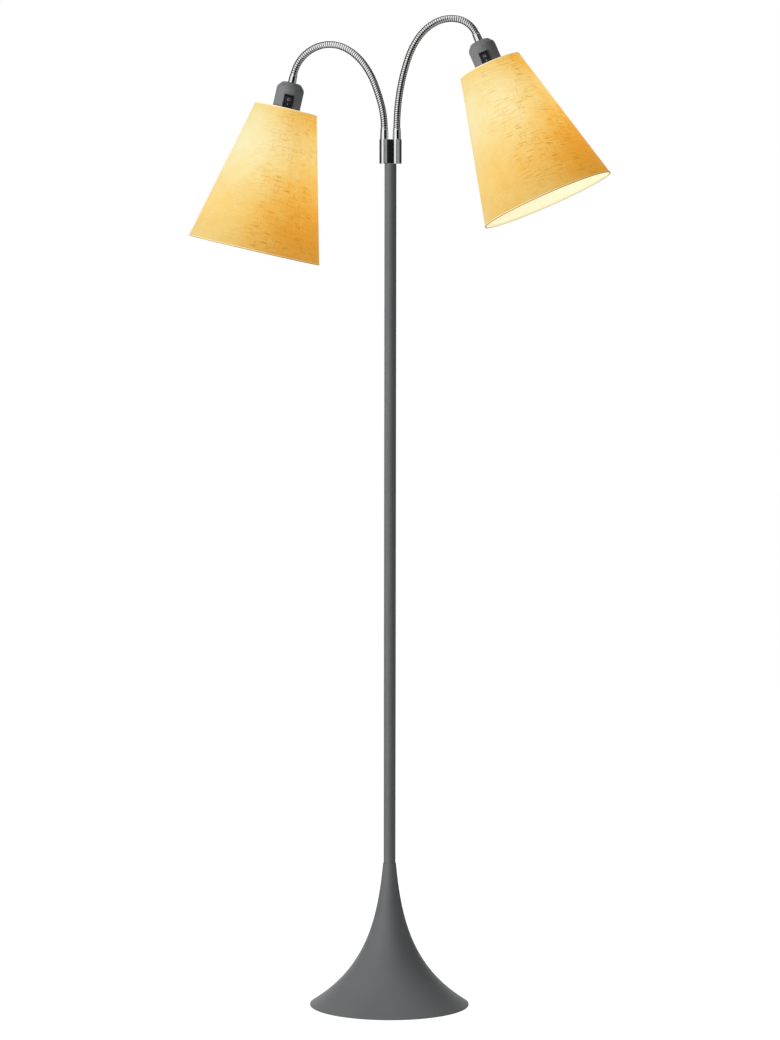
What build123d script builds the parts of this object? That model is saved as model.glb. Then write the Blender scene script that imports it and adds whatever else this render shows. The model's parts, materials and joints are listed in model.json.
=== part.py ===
from build123d import *
import os
from math import cos, exp, radians, sin

# Floor lamp with a trumpet foot, a thin stem and two goosenecks, each carrying a shaded lampholder.
# Millimetres. The origin is the centre of the foot's underside; +Z is up, -Y is the switch side.

# ---- foot: spun shell over an iron weight on a steel plate with felt below ----
foot_radius = 120.0
foot_height = 215.0
rim_height = 1.83           # height of the shell's widest point
rim_lift = 0.4              # the shell's edge stays this far off the floor
flare_core = 3.2            # radius that the trumpet curve would reach far up the stem
flare_decay_height = 74.6   # height over which the width beyond the core falls to 37 %
shell_wall = 1.2
felt_thickness = 1.5
felt_setback = 8.0          # these setbacks run inwards from the shell's widest point
plate_thickness = 2.0
plate_setback = 7.0
weight_setback = 25.0
weight_height = 36.0
weight_clearance = 0.3
pocket_radius = 13.0        # round pocket under the weight for the stem's nut
pocket_depth = 18.0
channel_width = 10.0        # groove under the weight for the wires
channel_height = 7.0
plate_screw_radius = 2.0
plate_screw_length = 12.0
plate_screw_setback = 15.0  # from the weight's edge in to the screws' circle
plate_screw_count = 3
first_screw_angle = 30.0

# ---- stem ----
stem_radius = 9.0
stem_wall = 1.5
stem_length = 1228.0
slip_clearance = 0.05       # between parts that slip or screw into each other
thread_radius = 5.0         # hollow lamp thread M10
thread_bore = 3.5
thread_clearance = 1.0      # room left below a screwed-in end
plug_length = 25.0
nut_across_corners = 19.6
nut_height = 8.0
nipple_proud = 1.0          # how far the nipple stands out of its nut
washer_radius = 12.0
washer_thickness = 1.5

# ---- supply wires and their inlet ----
inlet_radius = 3.25
grommet_wall = 1.3
grommet_setback = 4.0       # from the rim's widest point to the grommet's open end
grommet_gap = 1.0           # from the weight's edge to the grommet's inner end
collar_width = 1.2
collar_length = 2.0
wire_radius = 1.1
wire_spacing = 2.5
wire_bend = 6.0
wire_lift = 0.1             # clearance under the wires in their groove
wire_setback = 3.0          # from the weight's edge to the wires' bare ends

# ---- hub ----
hub_height = 37.0
barrel_radius = 7.25
barrel_offset = 9.4
web_depth = 11.0
hub_chamfer = 0.6
socket_depth = 13.0
hub_spigot_length = 14.0
hub_passage_height = 18.0

# ---- goosenecks ----
neck_bore = 2.5
rib_crest = 5.25
rib_valley = 4.75
ribs_per_length = 12
rib_crest_start = 0.25      # shares of one rib's pitch
rib_crest_end = 0.6
rib_valley_start = 0.85
neck_length = 35.0          # centreline length of each of the neck's lengths
ferrule_radius = 6.2
root_ferrule_length = 16.5
tip_ferrule_length = 13.0
ferrule_chamfer = 0.8
crimp_radius = 4.9
crimp_depth = 5.0
tip_spigot_length = 9.0
ball_radius = 3.9
ball_clearance = 0.12
stalk_radius = 3.35
stalk_root = 0.5            # how far a stalk is rooted in its length's shoulder
shoulder_clearance = 0.25
knuckle_range = 25.0        # largest angle that a knuckle turns through

# Each neck's turn, length by length from the hub, and how far its plane is swung to the back.
left_turns = [15, 7, 16, 22.5, 34.5, 35.5, 36]
right_turns = [6, 6, 6.5, 16, 28.5, 39.5, 54]
left_swing = 16.5
right_swing = -5.4

# ---- lampholders; distances run down the head's axis from the top of the holder ----
cap_height = 10.0
cap_top_radius = 7.0
cap_boss_radius = 7.5
cap_boss_setback = 2.0      # from the spigot's end up to the boss's end
shoulder_radius_share = 0.8 # the dome's curve passes this share of the radius ...
shoulder_height_share = 0.38  # ... at this share of the cap's height
holder_radius = 21.0
holder_wall = 2.0
holder_length = 44.0
skirt_radius = 19.7
skirt_length = 25.0
switch_width = 15.0
switch_height = 21.0
switch_top = 19.0
switch_depth = 11.0
bezel_thickness = 0.9
bezel_edge = 1.0
bezel_seat_gap = 0.02
pocket_edge = 0.9           # wall of the switch's box beside the rocker
pocket_floor = 1.5
pad_margin = 0.4
rocker_margin = 0.25
rocker_length = 16.4
rocker_thickness = 2.6
rocker_tilt = 11.0
rocker_proud = 0.6          # how far the key's level position stands out of the bezel
rocker_waist = 0.4          # how much thinner the key is across its pin
rocker_keel = 2.05          # depth of the key below its pin
rocker_pin = 1.0
rocker_pin_length = 0.8
pin_clearance = 0.05
pin_end_clearance = 0.1
left_switch_turn = 5.0      # the way that each switch faces, about the vertical
right_switch_turn = -8.0
insert_radius = 17.8
insert_top = 41.0
insert_length = 27.0
insert_floor = 3.0
insert_wire_hole = 2.0
socket_radius = 14.2
contact_thickness = 0.35    # the screw shell's sheet
contact_flange = 2.5
contact_flange_height = 1.0
contact_setback = 1.0
tongue_length = 16.0
tongue_width = 5.0
tongue_thickness = 1.0

# ---- lamp bulbs, screw cap 27 mm, globe 60 mm ----
bulb_cap_radius = 13.1
bulb_cap_length = 25.0
bulb_length = 105.0
bulb_radius = 30.0
bulb_neck_radius = 12.8
bulb_shoulder_angle = 35.0  # below the globe's equator, where its neck begins
glass_thickness = 0.8
bulb_seat = 1.6             # from the socket's floor to the bulb's end contact
contact_radius = 4.5        # the bulb's end contact
contact_height = 2.0
contact_base_radius = 5.5
cap_thread_start = 6.0
cap_cone_height = 5.0
cap_cone_radius = 11.6
cap_sheet = 1.2             # the bulb cap's wall
cap_hollow_depth = 12.0

# ---- shades ----
shade_top = 40.0
shade_height = 219.0
shade_top_radius = 48.0
shade_bottom_radius = 102.0
binding_thickness = 0.4
binding_width = 3.0
fabric_thickness = 0.7
liner_thickness = 0.5
layer_clearance = 0.05
shade_wire = 1.25
hoop_clearance = 0.4        # from a binding's fold to the hoop beside it
hoop_side_clearance = 0.0625
spoke_radius = 1.0
spoke_count = 3
first_spoke_angle = 60.0
spoke_inset = 2.04          # from the fitter ring's bore to a spoke's root
spoke_sink = 0.1            # a spoke's top lies this far below the fitter ring's face
fitter_thickness = 1.5
fitter_width = 3.4
fitter_clearance = 0.3
ring_nut_height = 9.0
ring_nut_radius = 24.5
ring_flange_radius = 26.5
ring_flange_height = 2.0
ring_nut_clearance = 0.1

# ---- derived sizes ----
felt_radius = foot_radius - felt_setback
plate_radius = foot_radius - plate_setback
weight_radius = foot_radius - weight_setback
plate_screw_circle = weight_radius - plate_screw_setback
grommet_length = weight_setback - grommet_setback - grommet_gap
plate_top = felt_thickness + plate_thickness
weight_top = plate_top + weight_height
pocket_top = plate_top + pocket_depth
nut_bottom = pocket_top - washer_thickness - nut_height
stem_top = weight_top + stem_length
hub_top = stem_top + hub_height
neck_start = hub_top + root_ferrule_length
stem_bore = stem_radius - stem_wall
thread_hole = thread_radius + slip_clearance
inlet_height = plate_top + inlet_radius + grommet_wall
shoulder_gap = rib_crest * sin(radians(knuckle_range)) + shoulder_clearance
switch_middle = switch_top + switch_height / 2
bezel_face = holder_radius + bezel_thickness
socket_floor = insert_top + insert_floor
insert_bottom = insert_top + insert_length
bulb_end = socket_floor + bulb_seat
bulb_rim = bulb_end + bulb_cap_length
shade_bottom = shade_top + shade_height
shade_slope = (shade_bottom_radius - shade_top_radius) / shade_height
binding_inside = binding_thickness + fabric_thickness + liner_thickness + 2 * layer_clearance
fitter_bore = skirt_radius + fitter_clearance

RISING = (Align.CENTER, Align.CENTER, Align.MIN)
FORWARD = (Align.MIN, Align.CENTER, Align.CENTER)
OVERRUN = 1.0               # how far a cutting body runs past what it cuts
HAIR = 0.01                 # overlap that keeps a cut from leaving a skin


def disc(radius, low, high):
    """Upright cylinder on the local Z axis between two heights."""
    return Pos(0, 0, low) * Cylinder(radius, high - low, align=RISING)


def bore(radius, low, high):
    """Cutting cylinder that runs past both heights."""
    return disc(radius, low - OVERRUN, high + OVERRUN)


def ring(outer, inner, low, high):
    """Disc with a round hole through it."""
    return disc(outer, low, high) - bore(inner, low, high)


def turned(*corners):
    """Solid turned on the local Z axis from (radius, height) corners."""
    return revolve(make_face(Plane.XZ * Polyline(*corners, close=True)), Axis.Z)


def write(name, *solids):
    """One STEP file for one node; several solids share it as a group."""
    shape = solids[0] if len(solids) == 1 else Compound(children=list(solids))
    export_step(shape, f"parts/{name}.step")


# ---------------------------------------------------------------- foot

def flare_radius(height):
    """Outer radius of the trumpet: a core plus a width that dies away exponentially with height."""
    return flare_core + (foot_radius - flare_core) * exp((rim_height - height) / flare_decay_height)


def flare_point(height, inset):
    """Point of the trumpet curve, moved inwards at right angles to the curve."""
    slope = -(flare_radius(height) - flare_core) / flare_decay_height
    length = (1 + slope * slope) ** 0.5
    return (flare_radius(height) - inset / length, height + inset * slope / length)


def under_flare(inset):
    """Solid of revolution under the trumpet curve, which is moved inwards by the inset."""
    steps, crowding = 12, 1.3
    heights = [rim_height + (foot_height - rim_height) * (i / steps) ** crowding for i in range(steps + 1)]
    points = [flare_point(height, inset) for height in heights]
    (rim, low), (neck, high) = points[0], points[-1]
    outline = Plane.XZ * (Spline(*points) + Polyline((neck, high), (0, high), (0, rim_lift),
                                                     (rim, rim_lift), (rim, low)))
    return revolve(make_face(outline), Axis.Z)


def screw_places():
    """Positions of the plate screws, evenly round their circle."""
    return PolarLocations(plate_screw_circle, plate_screw_count, first_screw_angle)


def inlet_plug(radius, near, far):
    """Body along +Y with a round top and straight sides that stands on the base plate."""
    middle = (near + far) / 2
    round_top = Pos(0, near, inlet_height) * Rot(-90, 0, 0) * Cylinder(radius, far - near, align=RISING)
    sides = Pos(0, middle, inlet_height - radius) * Box(2 * radius, far - near, radius, align=RISING)
    above_plate = Pos(0, far, plate_top) * Box(4 * radius, 4 * far, 4 * radius, align=RISING)
    return (round_top + sides) & above_plate


def base_shell():
    """Spun trumpet with a thin wall, a notch for the cord inlet and a bore that grips the stem."""
    shell = under_flare(0) - under_flare(shell_wall)
    shell -= disc(foot_radius + OVERRUN, -foot_height, rim_lift + HAIR)
    shell -= disc(stem_radius + slip_clearance, 0, foot_height + OVERRUN)
    gap = inlet_radius + grommet_wall + slip_clearance
    past_rim = foot_radius + OVERRUN
    notch = inlet_plug(gap, weight_radius, past_rim)
    below_plate = Pos(0, (weight_radius + past_rim) / 2, 0) * Box(
        2 * gap, past_rim - weight_radius, 2 * (plate_top + HAIR))
    return shell - notch - below_plate


def base_weight():
    """Cast-iron weight that follows the shell, with its nut pocket, wire groove and screw holes."""
    weight = under_flare(shell_wall + weight_clearance) & disc(weight_radius, plate_top, weight_top)
    weight -= bore(thread_hole, 0, weight_top)
    weight -= disc(pocket_radius, 0, pocket_top)
    weight -= Pos(0, weight_radius / 2, plate_top) * Box(channel_width, weight_radius + 2 * OVERRUN,
                                                         2 * channel_height)
    for place in screw_places():
        weight -= place * bore(plate_screw_radius + slip_clearance, 0, felt_thickness + plate_screw_length)
    return weight


def base_plate():
    plate = ring(plate_radius, pocket_radius, felt_thickness, plate_top)
    for place in screw_places():
        plate -= place * countersink(slip_clearance)
    return plate


def countersink(clearance):
    """Screw head's cone, from twice the shank's radius at the felt to the shank above."""
    low = felt_thickness
    wide, narrow = 2 * plate_screw_radius + clearance, plate_screw_radius + clearance
    return turned((0, low), (wide, low), (narrow, plate_top), (0, plate_top))


def base_plate_screws():
    shank = disc(plate_screw_radius, felt_thickness, felt_thickness + plate_screw_length)
    return [place * (countersink(0) + shank) for place in screw_places()]


def cord_grommet():
    """Rubber bush at the back of the foot; its bore lies along +Y."""
    outer = inlet_radius + grommet_wall
    far = foot_radius - grommet_setback
    near = far - grommet_length
    body = inlet_plug(outer, near, far) + inlet_plug(outer + collar_width, near, near + collar_length)
    return body - Pos(0, 0, inlet_height) * Rot(-90, 0, 0) * bore(inlet_radius, near, far)


# ---------------------------------------------------------------- stem and hub

def stem_plug(low, high):
    """Round slug inside the stem tube, threaded for the hollow lamp thread."""
    return ring(stem_bore - slip_clearance, thread_hole, low, high)


def stem_nut():
    blank = extrude(Pos(0, 0, nut_bottom) * RegularPolygon(nut_across_corners / 2, 6), nut_height)
    return blank - bore(thread_hole, nut_bottom, nut_bottom + nut_height)


def supply_wires():
    """Two insulated wires: along the groove, round one bend and up the stem to the hub."""
    level = plate_top + wire_radius + wire_lift
    start = Vector(0, weight_radius - wire_setback, level)
    corner = Vector(0, wire_bend, level)
    up = Vector(0, 0, level + wire_bend)
    top = Vector(0, 0, stem_top + hub_passage_height - neck_bore)
    path = Wire([Edge.make_line(start, corner), Edge.make_tangent_arc(corner, Vector(0, -1, 0), up),
                 Edge.make_line(up, top)])
    one = sweep(Plane(start, z_dir=(0, -1, 0)) * Circle(wire_radius), path=path)
    return [Pos(side * wire_spacing / 2, 0, 0) * one for side in (-1, 1)]


def twin_hub():
    """Two barrels with a web between them and a threaded spigot that screws into the stem."""
    barrel = chamfer(disc(barrel_radius, stem_top, hub_top).edges().filter_by(GeomType.CIRCLE),
                     hub_chamfer)
    hub = Pos(0, 0, stem_top) * Box(2 * barrel_offset, web_depth, hub_height, align=RISING)
    for side in (-1, 1):
        hub += Pos(side * barrel_offset, 0, 0) * barrel
    hub += disc(thread_radius, stem_top - hub_spigot_length, stem_top + OVERRUN)
    passage = stem_top + hub_passage_height
    hub -= disc(thread_bore, stem_top - hub_spigot_length - OVERRUN, passage)
    hub -= Pos(0, 0, passage) * Rot(0, 90, 0) * Cylinder(neck_bore, 2 * barrel_offset)
    for side in (-1, 1):
        hub -= Pos(side * barrel_offset, 0, 0) * disc(neck_bore, passage, hub_top)
        hub -= Pos(side * barrel_offset, 0, 0) * disc(thread_hole, hub_top - socket_depth, hub_top + OVERRUN)
    return hub


def root_ferrule(side):
    """Smooth sleeve screwed into the hub; the neck's first length is crimped into its top."""
    thread_end = hub_top - socket_depth + thread_clearance
    sleeve = chamfer(disc(ferrule_radius, hub_top, neck_start).edges().group_by(Axis.Z)[-1],
                     ferrule_chamfer)
    sleeve += disc(thread_radius, thread_end, hub_top + OVERRUN)
    sleeve -= bore(neck_bore, thread_end, neck_start)
    sleeve -= disc(crimp_radius + slip_clearance, neck_start - crimp_depth, neck_start + OVERRUN)
    return Pos(side * barrel_offset, 0, 0) * sleeve


# ---------------------------------------------------------------- goosenecks

class Arm:
    """One gooseneck: its side (+1 is +X), the swing of its plane and its list of turns."""

    def __init__(self, name, side, swing, turns, switch_turn):
        self.name = name
        self.outward = Vector(side * cos(radians(swing)), sin(radians(swing)), 0)
        self.across = Vector(0, 0, 1).cross(self.outward)
        self.start = Vector(side * barrel_offset, 0, neck_start)
        self.side = side
        self.turns = turns
        self.switch_turn = switch_turn

    def tangent(self, lean):
        """Direction of the centreline when it leans outwards from upright by this many degrees."""
        return self.outward * sin(radians(lean)) + Vector(0, 0, 1) * cos(radians(lean))

    def station(self, distance):
        """Centreline point and lean at a distance along the neck; beyond its ends it runs straight."""
        point, lean = self.start, 0.0
        if distance <= 0:
            return point + self.tangent(0) * distance, lean
        for turn in self.turns:
            piece = min(distance, neck_length)
            part_turn = turn * piece / neck_length
            chord = piece * sin(radians(part_turn / 2)) / radians(part_turn / 2)
            point += self.tangent(lean + part_turn / 2) * chord
            lean += part_turn
            distance -= piece
            if distance <= 1e-9:
                return point, lean
        return point + self.tangent(lean) * distance, lean

    def plane(self, distance):
        """Plane square to the centreline, with its X axis steady across the neck's own plane."""
        point, lean = self.station(distance)
        return Plane(point, x_dir=self.across, z_dir=self.tangent(lean))

    def head_plane(self):
        """Frame of the head: origin on top of the holder, Z down its axis, X out through the switch."""
        end = len(self.turns) * neck_length + tip_ferrule_length
        point, lean = self.station(end)
        axis = self.tangent(lean)
        facing = Vector(sin(radians(self.switch_turn)), -cos(radians(self.switch_turn)), 0)
        front = facing - axis * facing.dot(axis)
        return Plane(point, x_dir=front, z_dir=axis)


def ribbed_body(arm, low, high):
    """Ruled loft through four circles per rib: valley, crest, crest, valley."""
    count = round(ribs_per_length * (high - low) / neck_length)
    pitch = (high - low) / count
    profile = ((0, rib_valley), (rib_crest_start, rib_crest), (rib_crest_end, rib_crest),
               (rib_valley_start, rib_valley))
    circles = [arm.plane(low + (rib + share) * pitch) * Circle(radius)
               for rib in range(count) for share, radius in profile]
    circles.append(arm.plane(high) * Circle(rib_valley))
    return loft(circles, ruled=True)


def neck_bore_tool(arm, index):
    """Bore along one length's arc, run on straight past both of its ends."""
    low, high = index * neck_length, (index + 1) * neck_length
    first, last = arm.plane(low), arm.plane(high)
    run_on = 2 * rib_crest
    arc = Edge.make_tangent_arc(first.origin, first.z_dir, last.origin)
    before = first * disc(neck_bore, -run_on, 0)
    after = last * disc(neck_bore, 0, run_on)
    return sweep(first * Circle(neck_bore), path=arc) + before + after


def neck_piece(arm, index):
    """One rigid length: a cup (or a crimped end) below, a ball (or a crimped end) above."""
    last_index = len(arm.turns) - 1
    low, high = index * neck_length, (index + 1) * neck_length
    body = ribbed_body(arm, low, high if index == last_index else high - shoulder_gap)
    if index == 0:
        body += arm.plane(low) * disc(crimp_radius, -crimp_depth, 0)
    else:
        body -= arm.plane(low) * Sphere(ball_radius + ball_clearance)
    if index == last_index:
        body += arm.plane(high) * disc(crimp_radius, 0, crimp_depth)
    else:
        body += arm.plane(high) * disc(stalk_radius, -shoulder_gap - stalk_root, 0)
        body += arm.plane(high) * Sphere(ball_radius)
    return body - neck_bore_tool(arm, index)


def tip_ferrule(arm):
    """Smooth sleeve between the neck's end and the holder, with a spigot into the holder's cap."""
    length = tip_ferrule_length
    sleeve = chamfer(disc(ferrule_radius, -length, 0).edges().group_by(Axis.Z)[0], ferrule_chamfer)
    sleeve += disc(thread_radius, -OVERRUN, tip_spigot_length)
    sleeve -= bore(neck_bore, -length, tip_spigot_length)
    sleeve -= disc(crimp_radius + slip_clearance, -length - OVERRUN, -length + crimp_depth)
    return arm.head_plane() * sleeve


# ---------------------------------------------------------------- lampholder

def cap_outline(inset):
    """Half section of the domed cap, moved inwards by the inset."""
    radius = holder_radius - inset
    shoulder = (radius * shoulder_radius_share, cap_height * shoulder_height_share + inset)
    dome = Spline((cap_top_radius, inset), shoulder, (radius, cap_height), tangents=[(1, 0.05), (0, 1)])
    return make_face(Plane.XZ * (dome + Polyline((radius, cap_height), (0, cap_height), (0, inset),
                                                 (cap_top_radius, inset))))


def holder_cap():
    cap = revolve(cap_outline(0), Axis.Z) - revolve(cap_outline(holder_wall), Axis.Z)
    cap += disc(cap_boss_radius, holder_wall / 4, tip_spigot_length - cap_boss_setback)
    return cap - bore(thread_hole, 0, tip_spigot_length)


def switch_block(width, height, near, far):
    """Block centred on the switch, between two distances from the head's axis."""
    return Pos(near, 0, switch_middle) * Box(far - near, width, height, align=FORWARD)


def holder_body():
    """Tube with a flat pad and a window for the switch, and a thinner threaded skirt below."""
    inner = holder_radius - holder_wall
    bottom = holder_length + skirt_length
    body = disc(holder_radius, cap_height, holder_length)
    body += switch_block(switch_width + 2 * pad_margin, switch_height + 2 * pad_margin,
                         inner - holder_wall, holder_radius)
    body += disc(skirt_radius, holder_length, bottom)
    body -= disc(insert_radius + slip_clearance, insert_top, bottom + OVERRUN)
    body -= disc(inner, cap_height - OVERRUN, insert_top)
    window_width = switch_width - 2 * bezel_edge + 2 * slip_clearance
    window_height = switch_height - 2 * bezel_edge + 2 * slip_clearance
    return body - switch_block(window_width, window_height, inner - 2 * holder_wall, holder_radius + OVERRUN)


def pocket_size():
    """Width and height of the opening that the rocker swings in."""
    swing = rocker_length * cos(radians(rocker_tilt)) + 2 * rocker_thickness * sin(radians(rocker_tilt))
    return switch_width - 2 * bezel_edge - 2 * pocket_edge, swing + 2 * rocker_margin


def rocker_pivot():
    """Distance of the rocker's pin from the head's axis, so that the pressed end lies under the bezel."""
    rise = rocker_length / 2 * sin(radians(rocker_tilt))
    return bezel_face - rocker_thickness - rise + rocker_proud


def switch_body():
    """Bezel on the holder's pad, and a box behind it that holds the rocker's pins."""
    back = bezel_face - switch_depth
    body = switch_block(switch_width, switch_height, holder_radius + bezel_seat_gap, bezel_face)
    body += switch_block(switch_width - 2 * bezel_edge, switch_height - 2 * bezel_edge, back, bezel_face)
    width, height = pocket_size()
    body -= switch_block(width, height, back + pocket_floor, bezel_face + OVERRUN)
    pin = Pos(rocker_pivot(), 0, switch_middle) * Rot(90, 0, 0)
    return body - pin * Cylinder(rocker_pin + pin_clearance, width + 2 * (rocker_pin_length + pin_end_clearance))


def switch_rocker():
    """V-shaped key on two pins; it rests tilted, with its lower end pressed in."""
    width = pocket_size()[0] - 2 * rocker_margin
    half, rise = rocker_length / 2, rocker_length / 2 * sin(radians(rocker_tilt))
    middle = rocker_thickness - rocker_waist
    tip = middle + rise
    outline = Polyline((middle, 0), (tip, half), (tip - rocker_thickness, half), (-rocker_keel, 0),
                       (tip - rocker_thickness, -half), (tip, -half), close=True)
    key = extrude(Plane.XZ * make_face(outline), width / 2, both=True)
    key += Rot(90, 0, 0) * Cylinder(rocker_pin, width + 2 * (rocker_margin + rocker_pin_length))
    return Pos(rocker_pivot(), 0, switch_middle) * Rot(0, -rocker_tilt, 0) * key


def socket_insert():
    """Insulating cup inside the holder: a floor with a wire hole, and a bore for the contacts."""
    cup = disc(insert_radius, insert_top, insert_bottom)
    cup -= disc(socket_radius, socket_floor, insert_bottom + OVERRUN)
    return cup - Pos(0, socket_radius / 2, 0) * bore(insert_wire_hole, insert_top, socket_floor)


def socket_contacts():
    """Screw shell and centre tongue that the bulb's cap touches."""
    outer = socket_radius - layer_clearance
    flange_top = socket_floor + contact_flange_height
    shell = ring(outer, outer - contact_thickness, flange_top, insert_bottom - contact_setback)
    shell += ring(outer, outer - contact_flange, socket_floor, flange_top)
    floor = Pos(0, 0, socket_floor)
    tongue = floor * Box(tongue_length, tongue_width, tongue_thickness, align=RISING)
    tongue += floor * Box(tongue_width, tongue_width, bulb_seat - layer_clearance, align=RISING)
    return [shell, tongue]


def bulb_cap():
    """Metal screw cap with its end contact."""
    outline = turned((0, bulb_end), (contact_radius, bulb_end), (contact_base_radius, bulb_end + contact_height),
                     (cap_cone_radius, bulb_end + cap_cone_height), (bulb_cap_radius, bulb_end + cap_thread_start),
                     (bulb_cap_radius, bulb_rim), (0, bulb_rim))
    return outline - disc(bulb_neck_radius - cap_sheet, bulb_rim - cap_hollow_depth, bulb_rim + OVERRUN)


def bulb_solid(inset):
    """Globe with a drawn-in neck, moved inwards by the inset."""
    centre = bulb_end + bulb_length - bulb_radius
    neck = bulb_rim + slip_clearance
    neck_radius = bulb_neck_radius - inset
    lean, side_angle = radians(bulb_shoulder_angle), radians(20)
    radius = bulb_radius - inset
    shoulder = (radius * cos(lean), centre - radius * sin(lean))
    nose = ThreePointArc((0, centre + radius), (radius * cos(side_angle), centre + radius * sin(side_angle)),
                         shoulder)
    side = Spline(shoulder, (neck_radius, neck), tangents=[(-sin(lean), -cos(lean)), (0, -1)])
    outline = nose + side + Polyline((neck_radius, neck), (0, neck), (0, centre + radius))
    return revolve(make_face(Plane.XZ * outline), Axis.Z)


def bulb_globe():
    neck = bulb_rim + slip_clearance
    return bulb_solid(0) - bulb_solid(glass_thickness) - bore(bulb_neck_radius - glass_thickness, neck, neck)


# ---------------------------------------------------------------- shade

def shade_radius(distance):
    """Radius over the bindings at a distance down the head's axis."""
    return shade_top_radius + shade_slope * (distance - shade_top)


def cone_layer(inset, thickness, low, high):
    """Conical skin; inset and thickness are measured square to the head's axis."""
    outer, inner = inset, inset + thickness
    return turned((shade_radius(low) - outer, low), (shade_radius(high) - outer, high),
                  (shade_radius(high) - inner, high), (shade_radius(low) - inner, low))


def shade_fabric():
    return cone_layer(binding_thickness, fabric_thickness, shade_top + binding_thickness,
                      shade_bottom - binding_thickness)


def shade_liner():
    return cone_layer(binding_thickness + fabric_thickness + layer_clearance, liner_thickness,
                      shade_top + binding_thickness, shade_bottom - binding_thickness)


def shade_bindings():
    """Tapes folded over the top and bottom edges: an outer strip, the edge and an inner strip."""
    strip = binding_thickness - layer_clearance
    tapes = []
    for edge, inwards in ((shade_top, 1), (shade_bottom, -1)):
        low, high = sorted((edge, edge + inwards * binding_width))
        fold_low, fold_high = sorted((edge, edge + inwards * strip))
        tape = cone_layer(0, strip, low, high)
        tape += cone_layer(binding_inside, binding_thickness, low, high)
        tape += cone_layer(0, binding_inside + binding_thickness, fold_low, fold_high)
        tapes.append(tape)
    return tapes


def wire_ring(distance):
    """Round wire hoop that lies just inside the binding."""
    radius = shade_radius(distance) - binding_inside - binding_thickness - shade_wire - hoop_side_clearance
    return Pos(0, 0, distance) * Torus(radius - layer_clearance, shade_wire), radius


def shade_frame():
    """Fitter ring round the holder's skirt, spokes, and the hoop inside the shade's top edge."""
    hoop_place = shade_top + binding_thickness + shade_wire + hoop_clearance
    frame, hoop_radius = wire_ring(hoop_place)
    frame += ring(fitter_bore + fitter_width, fitter_bore, holder_length, holder_length + fitter_thickness)
    root_height = holder_length + fitter_thickness - spoke_radius - spoke_sink
    root = Vector(fitter_bore + spoke_inset, 0, root_height)
    reach = Vector(hoop_radius, 0, hoop_place) - root
    rod = Plane(root, z_dir=reach) * Cylinder(spoke_radius, reach.length, align=RISING)
    for spoke in range(spoke_count):
        frame += Rot(0, 0, first_spoke_angle + spoke * 360 / spoke_count) * rod
    return frame - disc(fitter_bore, shade_top, holder_length + skirt_length)


def shade_lower_ring():
    return wire_ring(shade_bottom - binding_thickness - shade_wire - hoop_clearance)[0]


def shade_ring_nut():
    """Threaded collar that clamps the fitter ring against the holder's shoulder."""
    low = holder_length + fitter_thickness
    hole = skirt_radius + ring_nut_clearance
    return ring(ring_nut_radius, hole, low, low + ring_nut_height) + ring(
        ring_flange_radius, hole, low, low + ring_flange_height)


# ---------------------------------------------------------------- the lamp

def write_foot_and_stem():
    write("base_shell", base_shell())
    write("base_weight", base_weight())
    write("base_plate", base_plate())
    write("felt_pad", disc(felt_radius, 0, felt_thickness))
    write("base_plate_screws", *base_plate_screws())
    write("cord_grommet", cord_grommet())
    write("stem_tube", ring(stem_radius, stem_bore, weight_top, stem_top))
    write("stem_bottom_plug", stem_plug(weight_top, weight_top + plug_length))
    write("stem_top_plug", stem_plug(stem_top - plug_length, stem_top))
    write("stem_tie_nipple", ring(thread_radius, thread_bore, nut_bottom - nipple_proud,
                                  weight_top + plug_length))
    write("stem_washer", ring(washer_radius, thread_hole, pocket_top - washer_thickness, pocket_top))
    write("stem_nut", stem_nut())
    write("supply_wires", *supply_wires())
    write("twin_hub", twin_hub())


def write_neck(arm):
    write(f"{arm.name}_root_ferrule", root_ferrule(arm.side))
    for index in range(len(arm.turns)):
        write(f"{arm.name}_neck_{index + 1}", neck_piece(arm, index))
    write(f"{arm.name}_tip_ferrule", tip_ferrule(arm))


def write_head(arm):
    """Everything on the head, built about its own axis and then set on the end of the neck."""
    place = arm.head_plane()
    pieces = {
        "holder_cap": [holder_cap()],
        "holder_body": [holder_body()],
        "switch_body": [switch_body()],
        "switch_rocker": [switch_rocker()],
        "socket_insert": [socket_insert()],
        "socket_contacts": socket_contacts(),
        "bulb_cap": [bulb_cap()],
        "bulb_globe": [bulb_globe()],
        "shade_ring_nut": [shade_ring_nut()],
        "shade_frame": [shade_frame()],
        "shade_fabric": [shade_fabric()],
        "shade_liner": [shade_liner()],
        "shade_bindings": shade_bindings(),
        "shade_lower_ring": [shade_lower_ring()],
    }
    for piece, solids in pieces.items():
        write(f"{arm.name}_{piece}", *[place * solid for solid in solids])


os.makedirs("parts", exist_ok=True)
left = Arm("left", -1, left_swing, left_turns, left_switch_turn)
right = Arm("right", 1, right_swing, right_turns, right_switch_turn)
write_foot_and_stem()
for arm in (left, right):
    write_neck(arm)
    write_head(arm)
    head = arm.head_plane()
    print(f"{arm.name} head: origin {head.origin}, axis {head.z_dir}, front {head.x_dir}")
    for index in range(1, len(arm.turns)):
        print(f"{arm.name} knuckle {index}: {arm.station(index * neck_length)}")
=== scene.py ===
# %% [markdown]
# # A floor lamp with two goosenecks
#
# The lamp has a spun trumpet foot, a thin stem, a chrome hub and two flexible necks. Each neck carries a
# lampholder with a rocker switch and a lit linen shade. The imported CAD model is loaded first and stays
# fixed. Everything below is laid over it in the same place, in the same size, and rides on its bodies.

# %% Load the frame
import json
from math import acos, asin, atan, cos, degrees, pi, radians, sin, tan

import bmesh
import bpy
import numpy as np
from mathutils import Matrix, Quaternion, Vector


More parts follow.
